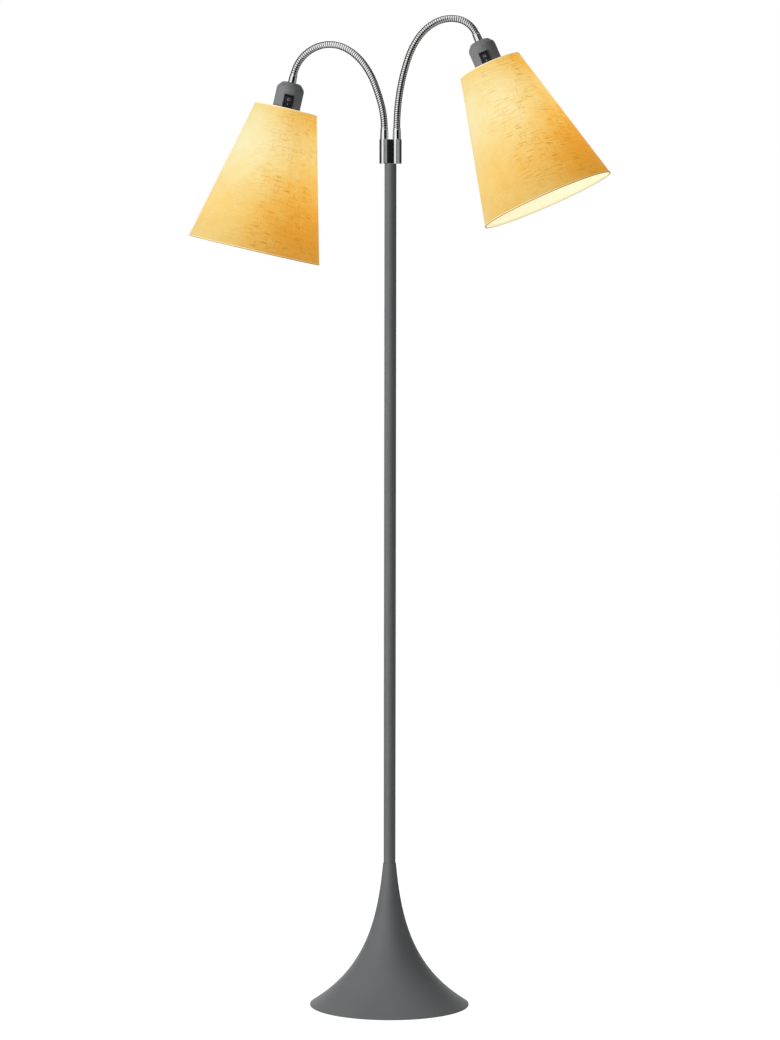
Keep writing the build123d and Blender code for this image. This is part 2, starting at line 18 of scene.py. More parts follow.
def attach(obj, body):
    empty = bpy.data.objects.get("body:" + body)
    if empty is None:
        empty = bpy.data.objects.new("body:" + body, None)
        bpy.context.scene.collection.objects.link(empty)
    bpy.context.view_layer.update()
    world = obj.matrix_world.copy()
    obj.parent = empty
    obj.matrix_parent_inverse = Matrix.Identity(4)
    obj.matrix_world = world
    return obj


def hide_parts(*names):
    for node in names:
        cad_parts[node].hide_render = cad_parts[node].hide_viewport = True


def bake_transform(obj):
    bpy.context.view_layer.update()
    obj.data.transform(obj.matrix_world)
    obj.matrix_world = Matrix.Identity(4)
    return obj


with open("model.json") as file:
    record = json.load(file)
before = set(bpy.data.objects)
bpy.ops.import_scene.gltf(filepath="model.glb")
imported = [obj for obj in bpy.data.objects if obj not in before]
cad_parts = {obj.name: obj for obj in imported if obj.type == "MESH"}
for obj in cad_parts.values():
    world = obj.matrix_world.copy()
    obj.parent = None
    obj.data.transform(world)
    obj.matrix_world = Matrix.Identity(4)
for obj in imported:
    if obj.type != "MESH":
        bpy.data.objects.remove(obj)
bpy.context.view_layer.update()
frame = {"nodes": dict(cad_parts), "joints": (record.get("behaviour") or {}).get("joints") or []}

# %% [markdown]
# ## Sizes
#
# The script works in millimetres, as the lamp was drawn, and turns them into metres when a mesh is made.
# These are the same driving sizes that the construction uses, so every surface lands on its solid.

# %% Driving sizes
MM = 0.001

foot_radius, foot_height = 120.0, 215.0
rim_height, rim_lift = 1.83, 0.4
flare_core, flare_decay, shell_wall = 3.2, 74.6, 1.2
stem_radius, stem_bore = 9.0, 7.5
stem_bottom, stem_length = 39.5, 1228.0
stem_top = stem_bottom + stem_length

hub_height, barrel_radius, barrel_offset, web_half = 37.0, 7.25, 9.4, 5.5
hub_top = stem_top + hub_height
root_ferrule, tip_ferrule = 16.5, 13.0
neck_start = hub_top + root_ferrule
neck_length, neck_bore, rib_pitch = 35.0, 2.5, 35.0 / 10.5

holder_radius, holder_wall, holder_length = 21.0, 2.0, 44.0
cap_height = 10.0
skirt_radius, skirt_length, skirt_bore = 19.7, 25.0, 17.85
switch_width, switch_height, switch_top = 15.0, 21.0, 19.0
switch_middle = switch_top + switch_height / 2
rocker_length, rocker_tilt, rocker_thickness = 16.4, 11.0, 2.6

shade_top, shade_height = 40.0, 219.0
shade_top_radius, shade_bottom_radius = 48.0, 102.0
shade_bottom = shade_top + shade_height
shade_slope = (shade_bottom_radius - shade_top_radius) / shade_height
binding_thickness, binding_width = 0.4, 3.0
fabric_thickness, liner_thickness, layer_clearance = 0.7, 0.5, 0.05

ARMS = {
    "left": {"side": -1, "swing": 16.5, "turns": (15, 7, 16, 22.5, 34.5, 35.5, 36), "switch_turn": 5.0},
    "right": {"side": 1, "swing": -5.4, "turns": (6, 6, 6.5, 16, 28.5, 39.5, 54), "switch_turn": -8.0},
}
print("stem top", stem_top, "mm; hub top", hub_top, "mm; necks start at", neck_start, "mm")

# %% [markdown]
# ## Where the necks and heads are
#
# Each neck is bent in one upright plane. The left one is swung a little to the back and the right one to
# the front. Length by length a neck turns by the angles in the list, so its lean is a broken line over the
# distance, and each length is an arc. A whole array of distances is turned into points at once.

# %% Follow a neck
def unit(vector):
    """The vector over its own length."""
    return vector / np.linalg.norm(vector)


def outward(arm):
    """Level direction in which the neck leans."""
    swing = radians(arm["swing"])
    return np.array([arm["side"] * cos(swing), sin(swing), 0.0])


def leaning(arm, lean):
    """Unit directions that lean outwards from upright by these angles."""
    lean = np.asarray(lean, float)[..., None]
    return outward(arm) * np.sin(lean) + np.array([0.0, 0.0, 1.0]) * np.cos(lean)


def walk(arm, distance):
    """Centreline points and leans: an arc of length s that turns by a has a chord of s sin(a/2) / (a/2),
    which leans halfway between the arc's two ends."""
    turns = np.radians(arm["turns"])
    leans = np.concatenate([[0.0], np.cumsum(turns)])
    chords = neck_length * np.sinc(turns / 2 / pi)[:, None] * leaning(arm, leans[:-1] + turns / 2)
    start = np.array([arm["side"] * barrel_offset, 0.0, neck_start])
    knots = start + np.concatenate([np.zeros((1, 3)), np.cumsum(chords, 0)])
    distance = np.atleast_1d(np.asarray(distance, float))
    piece = np.clip((distance // neck_length).astype(int), 0, len(turns) - 1)
    along = distance - piece * neck_length
    turn = np.where(distance > neck_length * len(turns), turns[-1], turns[piece] * along / neck_length)
    chord = along * np.sinc(turn / 2 / pi)
    points = knots[piece] + chord[:, None] * leaning(arm, leans[piece] + turn / 2)
    return points, leans[piece] + turn


for side, arm in ARMS.items():
    print(side, "neck turns by", sum(arm["turns"]), "degrees in all")

# %% Heads and joints
def straight_on(arm, extra):
    """Point past the neck's end, straight on by this distance, and the direction there."""
    end, lean = walk(arm, neck_length * len(arm["turns"]))
    direction = leaning(arm, lean[0])
    return end[0] + direction * extra, direction


def head_place(arm):
    """Origin on top of the holder and three axes: x out through the switch, z down the head."""
    origin, axis = straight_on(arm, tip_ferrule)
    turn = radians(arm["switch_turn"])
    facing = np.array([sin(turn), -cos(turn), 0.0])
    front = unit(facing - axis * (facing @ axis))
    return origin, np.array([front, np.cross(axis, front), axis])


UPRIGHT = (np.zeros(3), np.eye(3))
anchors = {joint["name"]: np.array(joint["pos_m"]) / MM for joint in frame["joints"]}
for side, arm in ARMS.items():
    found = walk(arm, neck_length * np.arange(1, 7))[0]
    joints = [name for name in anchors if name.startswith(side) and "switch" not in name]
    gap = max(np.linalg.norm(anchors[name] - point) for name, point in zip(joints, found))
    print(side, "neck passes its", len(joints), "joints within", round(float(gap), 4), "mm")

# %% [markdown]
# ## The camera
#
# The camera stands 4.3 m in front of the lamp, a little above its middle, and looks slightly down. That
# gives the ellipse of the foot's rim and shows the inside of the right shade as a thin lens.

# %% Camera
camera_place = Vector((0.0, -4.3, 0.86))
camera_target = Vector((0.0, 0.0, 0.7333))
focal_length, picture_height, camera_roll = 98.9, 36.0, 0.08


def new_object(name, data):
    """An object that shows this data, linked to the scene."""
    made = bpy.data.objects.new(name, data)
    bpy.context.scene.collection.objects.link(made)
    return made


camera = new_object("camera", bpy.data.cameras.new("camera"))
camera.location = camera_place
roll = Quaternion((0.0, 0.0, 1.0), radians(camera_roll))
camera.rotation_euler = ((camera_target - camera_place).to_track_quat("-Z", "Y") @ roll).to_euler()
camera.data.sensor_fit = "VERTICAL"
camera.data.sensor_height = picture_height
camera.data.lens = focal_length
bpy.context.scene.camera = camera
drop = (camera_place.z - camera_target.z) / (camera_target.y - camera_place.y)
print("camera looks down by", round(degrees(atan(drop)), 2), "degrees")

# %% [markdown]
# ## Tools for surfaces
#
# A surface is a grid of points: rows along the piece, columns round it. A closed direction joins its last
# points to its first ones. The corners of each face run so that it points outwards when rows rise along
# the axis on the outside. Points that fall together, as at a pole, are welded.

# %% From a grid to faces
def grid_faces(rows, columns, closed_rows=False, closed_columns=True):
    """Corner numbers of the grid's faces, and the same corners as (row, column) counted on past a seam."""
    i, j = np.meshgrid(np.arange(rows if closed_rows else rows - 1),
                       np.arange(columns if closed_columns else columns - 1), indexing="ij")
    row = np.stack([i, i, i + 1, i + 1], -1).reshape(-1, 4)
    column = np.stack([j, j + 1, j + 1, j], -1).reshape(-1, 4)
    return row % rows * columns + column % columns, np.stack([row, column], -1)


def ring_points(radius, angle, height):
    """Points (r cos t, r sin t, h) for a row of angles, with radii and heights as columns or whole grids."""
    three = np.broadcast_arrays(radius * np.cos(angle), radius * np.sin(angle), height + 0 * angle)
    return np.stack(three, -1)


def place_points(points, place):
    """Local points carried to where their piece is."""
    origin, axes = place
    return origin + points @ axes


print("one closed tube of 3 x 8 points has", len(grid_faces(3, 8)[0]), "faces")

# %% From faces to a piece
weld_distance = 1e-7


def weld(mesh):
    """Joins points that fall together, drops faces that this leaves without area, and shades smoothly."""
    work = bmesh.new()
    work.from_mesh(mesh)
    bmesh.ops.remove_doubles(work, verts=work.verts, dist=weld_distance)
    for face in work.faces:
        face.smooth = True
    work.to_mesh(mesh)
    work.free()


def make_piece(name, parts, materials, cloth=None, depth=None, crease=38.0):
    """One object from parts, each (points, faces, material number). cloth holds a UV pair per face corner,
    depth a number per point: 1 at the bottom of a groove or on a hidden inner side."""
    points = np.concatenate([part[0].reshape(-1, 3) for part in parts]) * MM
    starts = np.cumsum([0] + [part[0].size // 3 for part in parts[:-1]])
    faces = np.concatenate([part[1] + start for part, start in zip(parts, starts)]).astype(np.int32)
    mesh = bpy.data.meshes.new(name)
    mesh.vertices.add(len(points))
    mesh.vertices.foreach_set("co", points.astype(np.float32).ravel())
    mesh.loops.add(faces.size)
    mesh.loops.foreach_set("vertex_index", faces.ravel())
    mesh.polygons.add(len(faces))
    mesh.polygons.foreach_set("loop_start", np.arange(0, faces.size, 4, dtype=np.int32))
    numbers = np.concatenate([np.full(len(part[1]), part[2], np.int32) for part in parts])
    mesh.update(calc_edges=True)
    for material in materials:
        mesh.materials.append(material)
    mesh.polygons.foreach_set("material_index", numbers)
    if cloth is not None:
        mesh.uv_layers.new(name="cloth").data.foreach_set("uv", cloth.astype(np.float32).ravel())
    if depth is not None:
        attribute = mesh.attributes.new("depth", "FLOAT", "POINT")
        attribute.data.foreach_set("value", depth.astype(np.float32).ravel())
    weld(mesh)
    mesh.set_sharp_from_angle(angle=radians(crease))
    return new_object(name, mesh)


print("points within", weld_distance / MM, "mm of each other become one")

# %% [markdown]
# Turned pieces are a half section carried round an axis. Real edges are never perfectly sharp, so the
# section's corners get small arcs, with one more point beside each arc that keeps the flat beside it flat
# in the shading.

# %% Rounded sections and turned pieces
def rounded(*corners, steps=5, closed=False):
    """Section through (radius, height, fillet) corners. A corner with a fillet f and half angle h becomes
    an arc about the point f / sin(h) up the bisector; it touches both sides f / tan(h) from the corner."""
    points = np.array([corner[:2] for corner in corners], float)
    section = []
    for i, corner in enumerate(corners):
        at_end = not closed and i in (0, len(corners) - 1)
        if len(corner) < 3 or at_end:
            section.append(points[i])
            continue
        before = unit(points[i - 1] - points[i])
        after = unit(points[(i + 1) % len(points)] - points[i])
        half = acos(np.clip(before @ after, -1, 1)) / 2
        reach, turn = corner[2] / tan(half), pi - 2 * half
        centre = points[i] + unit(before + after) * corner[2] / sin(half)
        first, last = points[i] + before * reach - centre, points[i] + after * reach - centre
        share = np.linspace(0, 1, steps + 1)[:, None]
        arc = (np.sin((1 - share) * turn) * first + np.sin(share * turn) * last) / sin(turn)
        guard = reach + corner[2] * 0.3
        section += [points[i] + before * guard, *(centre + arc), points[i] + after * guard]
    return np.array(section)


def around(section, place, columns=96):
    """Points (r cos t, r sin t, h) for every (r, h) of the section and every angle t."""
    angle = np.linspace(0, 2 * pi, columns, endpoint=False)
    return place_points(ring_points(section[:, :1], angle, section[:, 1:]), place)


def turned(name, section, place, material, columns=96, closed=True, crease=38.0):
    """A section turned round its axis: a closed section makes a hollow piece, an open one ends in poles."""
    points = around(section, place, columns)
    faces = grid_faces(len(section), columns, closed_rows=closed)[0]
    return make_piece(name, [(points, faces, 0)], [material], crease=crease)


print("a square corner with a 1 mm fillet:", rounded((0, 0), (5, 0, 1.0), (5, 5)).shape[0], "points")

# %% [markdown]
# Each piece takes the place of a solid of the construction, or of a part of one, and rides on the body that
# it belongs to. Only the hoses are laid in another way.

# %% Tie a piece to the lamp
def stand_in(piece, node, body):
    """The piece replaces this node and rides on this body."""
    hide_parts(node)
    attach(piece, body)


print("solids to replace or to finish:", len(frame["nodes"]))

# %% [markdown]
# ## Tools for finishes
#
# Every finish is a small tree of nodes. A helper adds a node and either writes a number into a socket or
# links another node's socket to it. What is the same all over a surface is written on the shader itself.

# %% Node helpers
def add(tree, kind, inputs=None, **settings):
    """One node; inputs are numbers, colours or sockets of other nodes."""
    made = tree.nodes.new("ShaderNode" + kind)
    for name, value in settings.items():
        setattr(made, name, value)
    for name, value in (inputs or {}).items():
        if isinstance(value, bpy.types.NodeSocket):
            tree.links.new(value, made.inputs[name])
        else:
            made.inputs[name].default_value = value
    return made


def empty_material(name):
    """A material and its tree of nodes, with nothing in it yet."""
    material = bpy.data.materials.new(name)
    material.use_nodes = True
    material.node_tree.nodes.clear()
    return material, material.node_tree


def new_finish(name, **inputs):
    """A material with one main shader, whose constant inputs are given by name."""
    material, tree = empty_material(name)
    shader = add(tree, "BsdfPrincipled", {key.replace("_", " "): value for key, value in inputs.items()})
    tree.links.new(shader.outputs[0], add(tree, "OutputMaterial").inputs["Surface"])
    return material, tree, shader


def maths(tree, operation, *values):
    """One arithmetic step on numbers or sockets."""
    return add(tree, "Math", dict(enumerate(values)), operation=operation).outputs[0]


def object_coordinates(tree):
    """Place in the piece's own metres, which are the lamp's, because every piece stands at the origin."""
    return add(tree, "TexCoord").outputs["Object"]


print("a new finish is a shader, an output and what is linked to them")

# %% Pattern helpers
def noise(tree, vector, scale, detail=2.0):
    """Cloudy pattern between 0 and 1, about one cloud per 1 / scale metres."""
    made = add(tree, "TexNoise", {"Vector": vector, "Scale": scale, "Detail": detail})
    return made.outputs["Fac"]


def spread(tree, value, low, high, start=0.3, end=0.7):
    """Turns the middle of a pattern's range into the range low to high."""
    limits = {"From Min": start, "From Max": end, "To Min": low, "To Max": high}
    return add(tree, "MapRange", {"Value": value, **limits}).outputs["Result"]


def tint(tree, factor, first, second):
    """Between two colours or sockets: the first where the factor is 0, the second where it is 1."""
    inputs = {0: factor}
    for number, colour in ((6, first), (7, second)):
        inputs[number] = colour if isinstance(colour, bpy.types.NodeSocket) else (*colour, 1.0)
    return add(tree, "Mix", inputs, data_type="RGBA").outputs[2]


def grey(value):
    """The same level in red, green and blue."""
    return (value, value, value)


print("patterns: clouds, ranges and mixtures")

# %% Ramps and relief
def colour_ramp(tree, factor, stops, interpolation="LINEAR"):
    """Colours at shares of a range, in rising order."""
    made = add(tree, "ValToRGB", {"Fac": factor})
    made.color_ramp.interpolation = interpolation
    elements = made.color_ramp.elements
    while len(elements) < len(stops):
        elements.new(0.5)
    for element, (share, colour) in zip(elements, stops):
        element.position = share
        element.color = (*colour, 1.0)
    return made.outputs["Color"]


def grey_ramp(tree, factor, stops, interpolation="LINEAR"):
    """Levels at shares of a range, in rising order."""
    return colour_ramp(tree, factor, [(share, grey(level)) for share, level in stops], interpolation)


def scaled_colour(tree, colour, factor):
    """A colour made darker or lighter by a factor."""
    made = add(tree, "VectorMath", {0: colour}, operation="SCALE")
    tree.links.new(factor, made.inputs["Scale"])
    return made.outputs[0]


def bump(tree, shader, height, depth, strength=1.0):
    """Small relief on the shader's normal, depth in metres."""
    made = add(tree, "Bump", {"Height": height, "Distance": depth, "Strength": strength})
    tree.links.new(made.outputs[0], shader.inputs["Normal"])


print("ramps: a list of shares and colours or levels")

# %% [markdown]
# ### Painted and moulded finishes
#
# The foot and stem have a fine grey powder coat: even in colour, with a grain of well under a millimetre
# and a sheen that drifts a little from place to place. The lampholders are the same grey in a closer,
# duller coat. Bare metal, felt, rubber and plastics follow the same pattern with other numbers.

# %% Grained finishes
def grained(name, dark, light, rough, grain, depth, metallic=0.0, drift=9.0, **inputs):
    """Two close tones that drift over the piece, a roughness range, and a grain of the given size in mm."""
    material, tree, shader = new_finish(name, Metallic=metallic, **inputs)
    where = object_coordinates(tree)
    clouds = noise(tree, where, drift, 3.0)
    fine = noise(tree, where, 1 / (grain * MM), 2.0)
    tree.links.new(tint(tree, spread(tree, clouds, 0.0, 1.0), dark, light), shader.inputs["Base Color"])
    tree.links.new(spread(tree, fine, *rough), shader.inputs["Roughness"])
    bump(tree, shader, fine, depth * MM)
    return material


powder_grey = grained("foot_and_stem_grey", (0.121, 0.125, 0.127), (0.136, 0.140, 0.142), (0.42, 0.54),
                      0.5, 0.02)
holder_grey = grained("holder_grey", (0.158, 0.160, 0.165), (0.178, 0.180, 0.186), (0.48, 0.6), 0.35, 0.012)
cast_iron = grained("cast_iron", (0.03, 0.03, 0.031), (0.055, 0.053, 0.05), (0.6, 0.85), 1.2, 0.2, 0.4)
zinc_steel = grained("zinc_steel", (0.5, 0.51, 0.53), (0.62, 0.63, 0.65), (0.28, 0.42), 0.8, 0.01, 1.0, 40.0)
pressed_felt = grained("felt", (0.012, 0.012, 0.013), (0.028, 0.028, 0.030), (0.9, 1.0), 0.4, 0.25, 0.0, 60.0)
black_rubber = grained("rubber", (0.017, 0.017, 0.018), (0.026, 0.026, 0.027), (0.6, 0.75), 0.3, 0.01)
wire_sleeve = grained("wire_sleeve", (0.26, 0.26, 0.27), (0.31, 0.31, 0.32), (0.5, 0.6), 0.4, 0.005)
switch_black = grained("switch_black", (0.0085, 0.009, 0.013), (0.011, 0.012, 0.017), (0.3, 0.4), 0.12, 0.003)
mark_white = grained("mark_white", (0.36, 0.35, 0.37), (0.44, 0.43, 0.45), (0.45, 0.55), 0.2, 0.002)
insulator = grained("insulator", (0.70, 0.68, 0.63), (0.78, 0.76, 0.71), (0.35, 0.5), 0.3, 0.004)
brass = grained("brass", (0.62, 0.44, 0.17), (0.74, 0.55, 0.25), (0.18, 0.32), 0.6, 0.005, 1.0, 80.0)
bulb_metal = grained("bulb_metal", (0.6, 0.6, 0.6), (0.72, 0.72, 0.71), (0.22, 0.36), 0.5, 0.006, 1.0, 60.0)
print("grained finishes:", len(bpy.data.materials))

# %% [markdown]
# ### Chrome
#
# Polished chrome is almost a mirror. What makes it look real is what it reflects, so the room is painted
# further down with light and dark stretches. The finish itself only gets a faint, slow change in its
# polish. On the hoses, shade is painted into the metal between the wires: an attribute of the mesh tells
# how deep in a groove a point lies, and the metal is painted darker and duller there.

# %% Chrome
def chrome_finish(name, painted_groove_shade):
    """Mirror metal with roughness 0.03 to 0.07; for the hoses, shade is painted into the grooves: the metal
    turns dark and dull as the depth rises.
    """
    material, tree, shader = new_finish(name, Metallic=1.0)
    polish = noise(tree, object_coordinates(tree), 35.0, 4.0)
    bright = tint(tree, polish, (0.80, 0.81, 0.82), (0.90, 0.905, 0.91))
    tree.links.new(spread(tree, polish, 0.03, 0.07), shader.inputs["Roughness"])
    if painted_groove_shade:
        # Painted shade: the deeper in a groove a point lies, the darker and duller the metal.
        depth = add(tree, "Attribute", attribute_name="depth").outputs["Fac"]
        bright = scaled_colour(tree, bright, spread(tree, depth, 1.0, 0.12, 0.3, 0.8))
        tree.links.new(spread(tree, depth, 0.05, 0.4, 0.3, 0.8), shader.inputs["Roughness"])
    tree.links.new(bright, shader.inputs["Base Color"])
    return material


chrome = chrome_finish("chrome", painted_groove_shade=False)
hose_chrome = chrome_finish("hose_chrome", painted_groove_shade=True)
print("chrome: one plain and one for the ribbed hoses")

# %% [markdown]
# ### Lit linen
#
# The shade is slubby yellow linen glued to a translucent film, with a bulb behind it. The cloth is drawn
# flat, as it was cut: a cone unrolls into a fan, and each point's place in that fan is its UV, in metres.
# So the threads run straight in the cloth and level across the front of the shade. The glow is painted
# into the linen's emission, for the bulb's light through the cloth. Two things that it depends on follow
# from that place: how far down the shade a point lies, and which way it faces.

# %% Places in the cloth
fan_sine = shade_slope / (1 + shade_slope ** 2) ** 0.5
fan_top = shade_top_radius / fan_sine
fan_bottom = shade_bottom_radius / fan_sine


def fan_places(tree, cloth):
    """How far down the shade a point lies, 0 to 1, which is its distance from the fan's centre, and the sine
    of its angle from the front to the window, which is its angle in the fan over the cone's sine."""
    apart = add(tree, "VectorMath", {0: cloth}, operation="LENGTH").outputs["Value"]
    down = spread(tree, apart, 0.0, 1.0, fan_top * MM, fan_bottom * MM)
    parts = add(tree, "SeparateXYZ", {0: cloth}).outputs
    bend = maths(tree, "ARCTAN2", parts[0], maths(tree, "MULTIPLY", parts[1], -1.0))
    return down, maths(tree, "SINE", maths(tree, "DIVIDE", bend, fan_sine))


def is_right(tree):
    """1 on the right shade and 0 on the left one."""
    place = add(tree, "SeparateXYZ", {0: object_coordinates(tree)}).outputs
    return maths(tree, "GREATER_THAN", place[0], 0.0)


print("the cone unrolls into a fan of", round(360 * fan_sine), "degrees")

# %% [markdown]
# Threads are clouds of noise stretched along the thread. Slubs are thicker threads, which let less light
# through: the same noise with only its peaks kept, and bent a little, so that they wander. They lie in
# patches and show least on the side that daylight reaches.

# %% Threads and slubs
weft_slub, warp_slub, slub_thickness, slub_wander = 17.0, 14.0, 1.5, 3.0


def threads(tree, cloth, length, width, detail=1.0, shift=0.0):
    """Streaks of a thread's length and width in mm, along the cloth's first direction."""
    scaled = add(tree, "Mapping", {"Vector": cloth, "Location": (shift, shift, shift),
                                   "Scale": (1 / (length * MM), 1 / (width * MM), 1.0)})
    return noise(tree, scaled.outputs[0], 1.0, detail)


def slub_pattern(tree, cloth, across, facing):
    """Sparse dark slubs both ways, 0 to 1: the peaks of two thread patterns on a cloth that is pushed about
    by a soft noise, times the patches, less towards the window."""
    soft = add(tree, "TexNoise", {"Vector": cloth, "Scale": 90.0, "Detail": 1.0}).outputs["Color"]
    push = (slub_wander * MM, slub_wander * MM, 0.0)
    shift = add(tree, "VectorMath", {0: soft, 1: push}, operation="MULTIPLY").outputs[0]
    bent_weft, bent_warp = (add(tree, "VectorMath", {0: way, 1: shift}, operation="ADD").outputs[0]
                            for way in (cloth, across))
    weft = spread(tree, threads(tree, bent_weft, weft_slub, slub_thickness, 0.6), 0.0, 1.0, 0.59, 0.69)
    warp = spread(tree, threads(tree, bent_warp, warp_slub, slub_thickness, 0.6, 3.0), 0.0, 0.7, 0.62, 0.72)
    patches = spread(tree, noise(tree, cloth, 26.0, 1.0), 0.2, 1.0, 0.36, 0.56)
    shown = maths(tree, "MULTIPLY", patches, spread(tree, facing, 1.0, 0.12, 0.0, 0.65))
    return maths(tree, "MULTIPLY", maths(tree, "MAXIMUM", weft, warp), shown)


print("slubs:", weft_slub, "and", warp_slub, "mm long,", slub_thickness, "mm thick")

# %% [markdown]
# The painted glow runs from amber, where the cloth hides the bulb well, to cream. Down the shade it is
# palest beside the bulb. Round the shade it is painted paler towards the window, as light from the window:
# on the left shade most towards the window, on the right one nearly in front. The brightness has its own
# curve, which falls towards the mouth.

# %% Glow
def painted_window_light(tree, facing):
    """Painted window light: the level round the shade, by the sine of the angle to the window, one curve
    for each shade.
    """
    base = 0.35
    left = ((-1.0, 0.10), (-0.61, 0.11), (-0.37, 0.155), (-0.14, 0.237), (0.09, 0.33), (0.31, 0.46),
            (0.525, 0.537), (0.74, 0.58), (1.0, 0.62))
    right = ((-1.0, 0.02), (-0.77, 0.088), (-0.57, 0.198), (-0.36, 0.281), (-0.14, 0.394), (0.09, 0.416),
             (0.32, 0.434), (0.57, 0.44), (0.83, 0.52), (1.0, 0.55))
    share = spread(tree, facing, 0.0, 1.0, -1.0, 1.0)
    ramps = [grey_ramp(tree, share, [(sine / 2 + 0.5, level) for sine, level in stops])
             for stops in (left, right)]
    return maths(tree, "SUBTRACT", tint(tree, is_right(tree), *ramps), base)


def glow_colour(tree, down, facing, change):
    """The painted glow: its level is a curve of the height, plus painted window light round the shade, plus
    the change by threads and slubs. It gives the hue. Another curve of the height gives the brightness,
    less some towards the window, where the daylight itself adds."""
    level = grey_ramp(tree, down, [(0.0, 0.43), (0.15, 0.64), (0.3, 0.69), (0.45, 0.57), (0.62, 0.38),
                                   (0.8, 0.26), (1.0, 0.29)], "CARDINAL")
    level = maths(tree, "ADD", level, painted_window_light(tree, facing))
    level = maths(tree, "ADD", level, change)
    hue = colour_ramp(tree, level, [(0.0, (1.0, 0.40, 0.011)), (0.25, (1.0, 0.55, 0.09)),
                                    (0.5, (1.0, 0.70, 0.234)), (0.75, (1.0, 0.85, 0.425)),
                                    (1.0, (1.0, 1.0, 0.67))])
    power = grey_ramp(tree, down, [(0.0, 0.73), (0.3, 0.78), (0.5, 0.77), (0.75, 0.70), (1.0, 0.58)])
    away = grey_ramp(tree, down, [(0.0, 0.10), (0.35, 0.13), (0.6, 0.09), (0.75, 0.03), (1.0, 0.0)])
    return scaled_colour(tree, hue, maths(tree, "SUBTRACT", power, maths(tree, "MULTIPLY", facing, away)))


print("the glow fades towards the mouth")

# %% [markdown]
# The linen puts these together. A slub both dims the glow and turns it towards amber, and a few pale threads
# do the opposite. The right shade is cut from another place of the cloth, so its slubs differ.

# %% Linen
def linen_finish(thread_width, slub_depth):
    """Yellow linen: crossed threads, slubs both ways, and a painted glow of the lamp through them."""
    material, tree, shader = new_finish("shade_linen", Emission_Strength=1.0, Sheen_Weight=0.05,
                                        Sheen_Roughness=0.5, Roughness=0.85)
    cloth = add(tree, "UVMap", uv_map="cloth").outputs[0]
    down, facing = fan_places(tree, cloth)
    other_place = scaled_colour(tree, (0.37, 0.21, 0.0), is_right(tree))
    cloth = add(tree, "VectorMath", {0: other_place, 1: cloth}, operation="ADD").outputs[0]
    across = add(tree, "Mapping", {"Vector": cloth, "Rotation": (0.0, 0.0, pi / 2)}).outputs[0]
    both_ways = [threads(tree, way, 16 * thread_width, thread_width) for way in (cloth, across)]
    weave = maths(tree, "ADD", *both_ways)
    slubs = slub_pattern(tree, cloth, across, facing)
    pale_threads = spread(tree, threads(tree, cloth, 12.0, 1.4, 1.0, 7.0), 0.0, 1.0, 0.60, 0.72)
    clouds = spread(tree, noise(tree, cloth, 40.0, 3.0), -0.07, 0.07)

    change = maths(tree, "ADD", clouds, spread(tree, weave, -0.03, 0.03, 0.7, 1.3))
    change = maths(tree, "SUBTRACT", change, maths(tree, "MULTIPLY", slubs, 0.6 * slub_depth))
    change = maths(tree, "ADD", change, maths(tree, "MULTIPLY", pale_threads, 0.3 * slub_depth))
    dimmed = maths(tree, "SUBTRACT", 1.0, maths(tree, "MULTIPLY", slubs, 0.45 * slub_depth))
    # The glow is painted light: the bulb's light through the cloth, and the window's, put in as emission.
    glow = glow_colour(tree, down, facing, change)
    tree.links.new(scaled_colour(tree, glow, dimmed), shader.inputs["Emission Color"])

    darker = maths(tree, "SUBTRACT", 1.0, maths(tree, "MULTIPLY", slubs, 0.6 * slub_depth))
    thread_share = spread(tree, weave, 0.0, 1.0, 0.7, 1.3)
    cloth_colour = tint(tree, thread_share, (0.20, 0.135, 0.040), (0.24, 0.165, 0.050))
    tree.links.new(scaled_colour(tree, cloth_colour, darker), shader.inputs["Base Color"])
    bump(tree, shader, maths(tree, "ADD", weave, slubs), 0.10 * MM, 0.5)
    return material


linen = linen_finish(thread_width=0.8, slub_depth=0.44)
print("finishes so far:", len(bpy.data.materials))

# %% [markdown]
# ### Tape, lining, wires and bulb
#
# A tape is folded over both edges of the shade, and its glow is painted like the linen's. At the top a
# pale painted line stands for light that leaks out along the fold. At the mouth the fold is painted dark
# as shade, with a pale painted highlight above it and a faint painted shade where the tape ends. These
# lines are painted paler towards the window. The film inside the shade is smooth and cream, and its
# painted glow, for the bulb's light on it, makes it nearly white. The inner side of the tape and the
# wires of the frame get the same cream painted glow. The bulb is an opal globe that glows evenly.

# %% Tape
def by_distance(tree, down, from_edge, top, bottom):
    """A level by the distance in mm from the edge: one row of stops at the top edge, one at the mouth."""
    ramps = [grey_ramp(tree, from_edge, [(distance / binding_width, level) for distance, level in stops])
             for stops in (top, bottom)]
    return tint(tree, maths(tree, "GREATER_THAN", down, 0.5), *ramps)


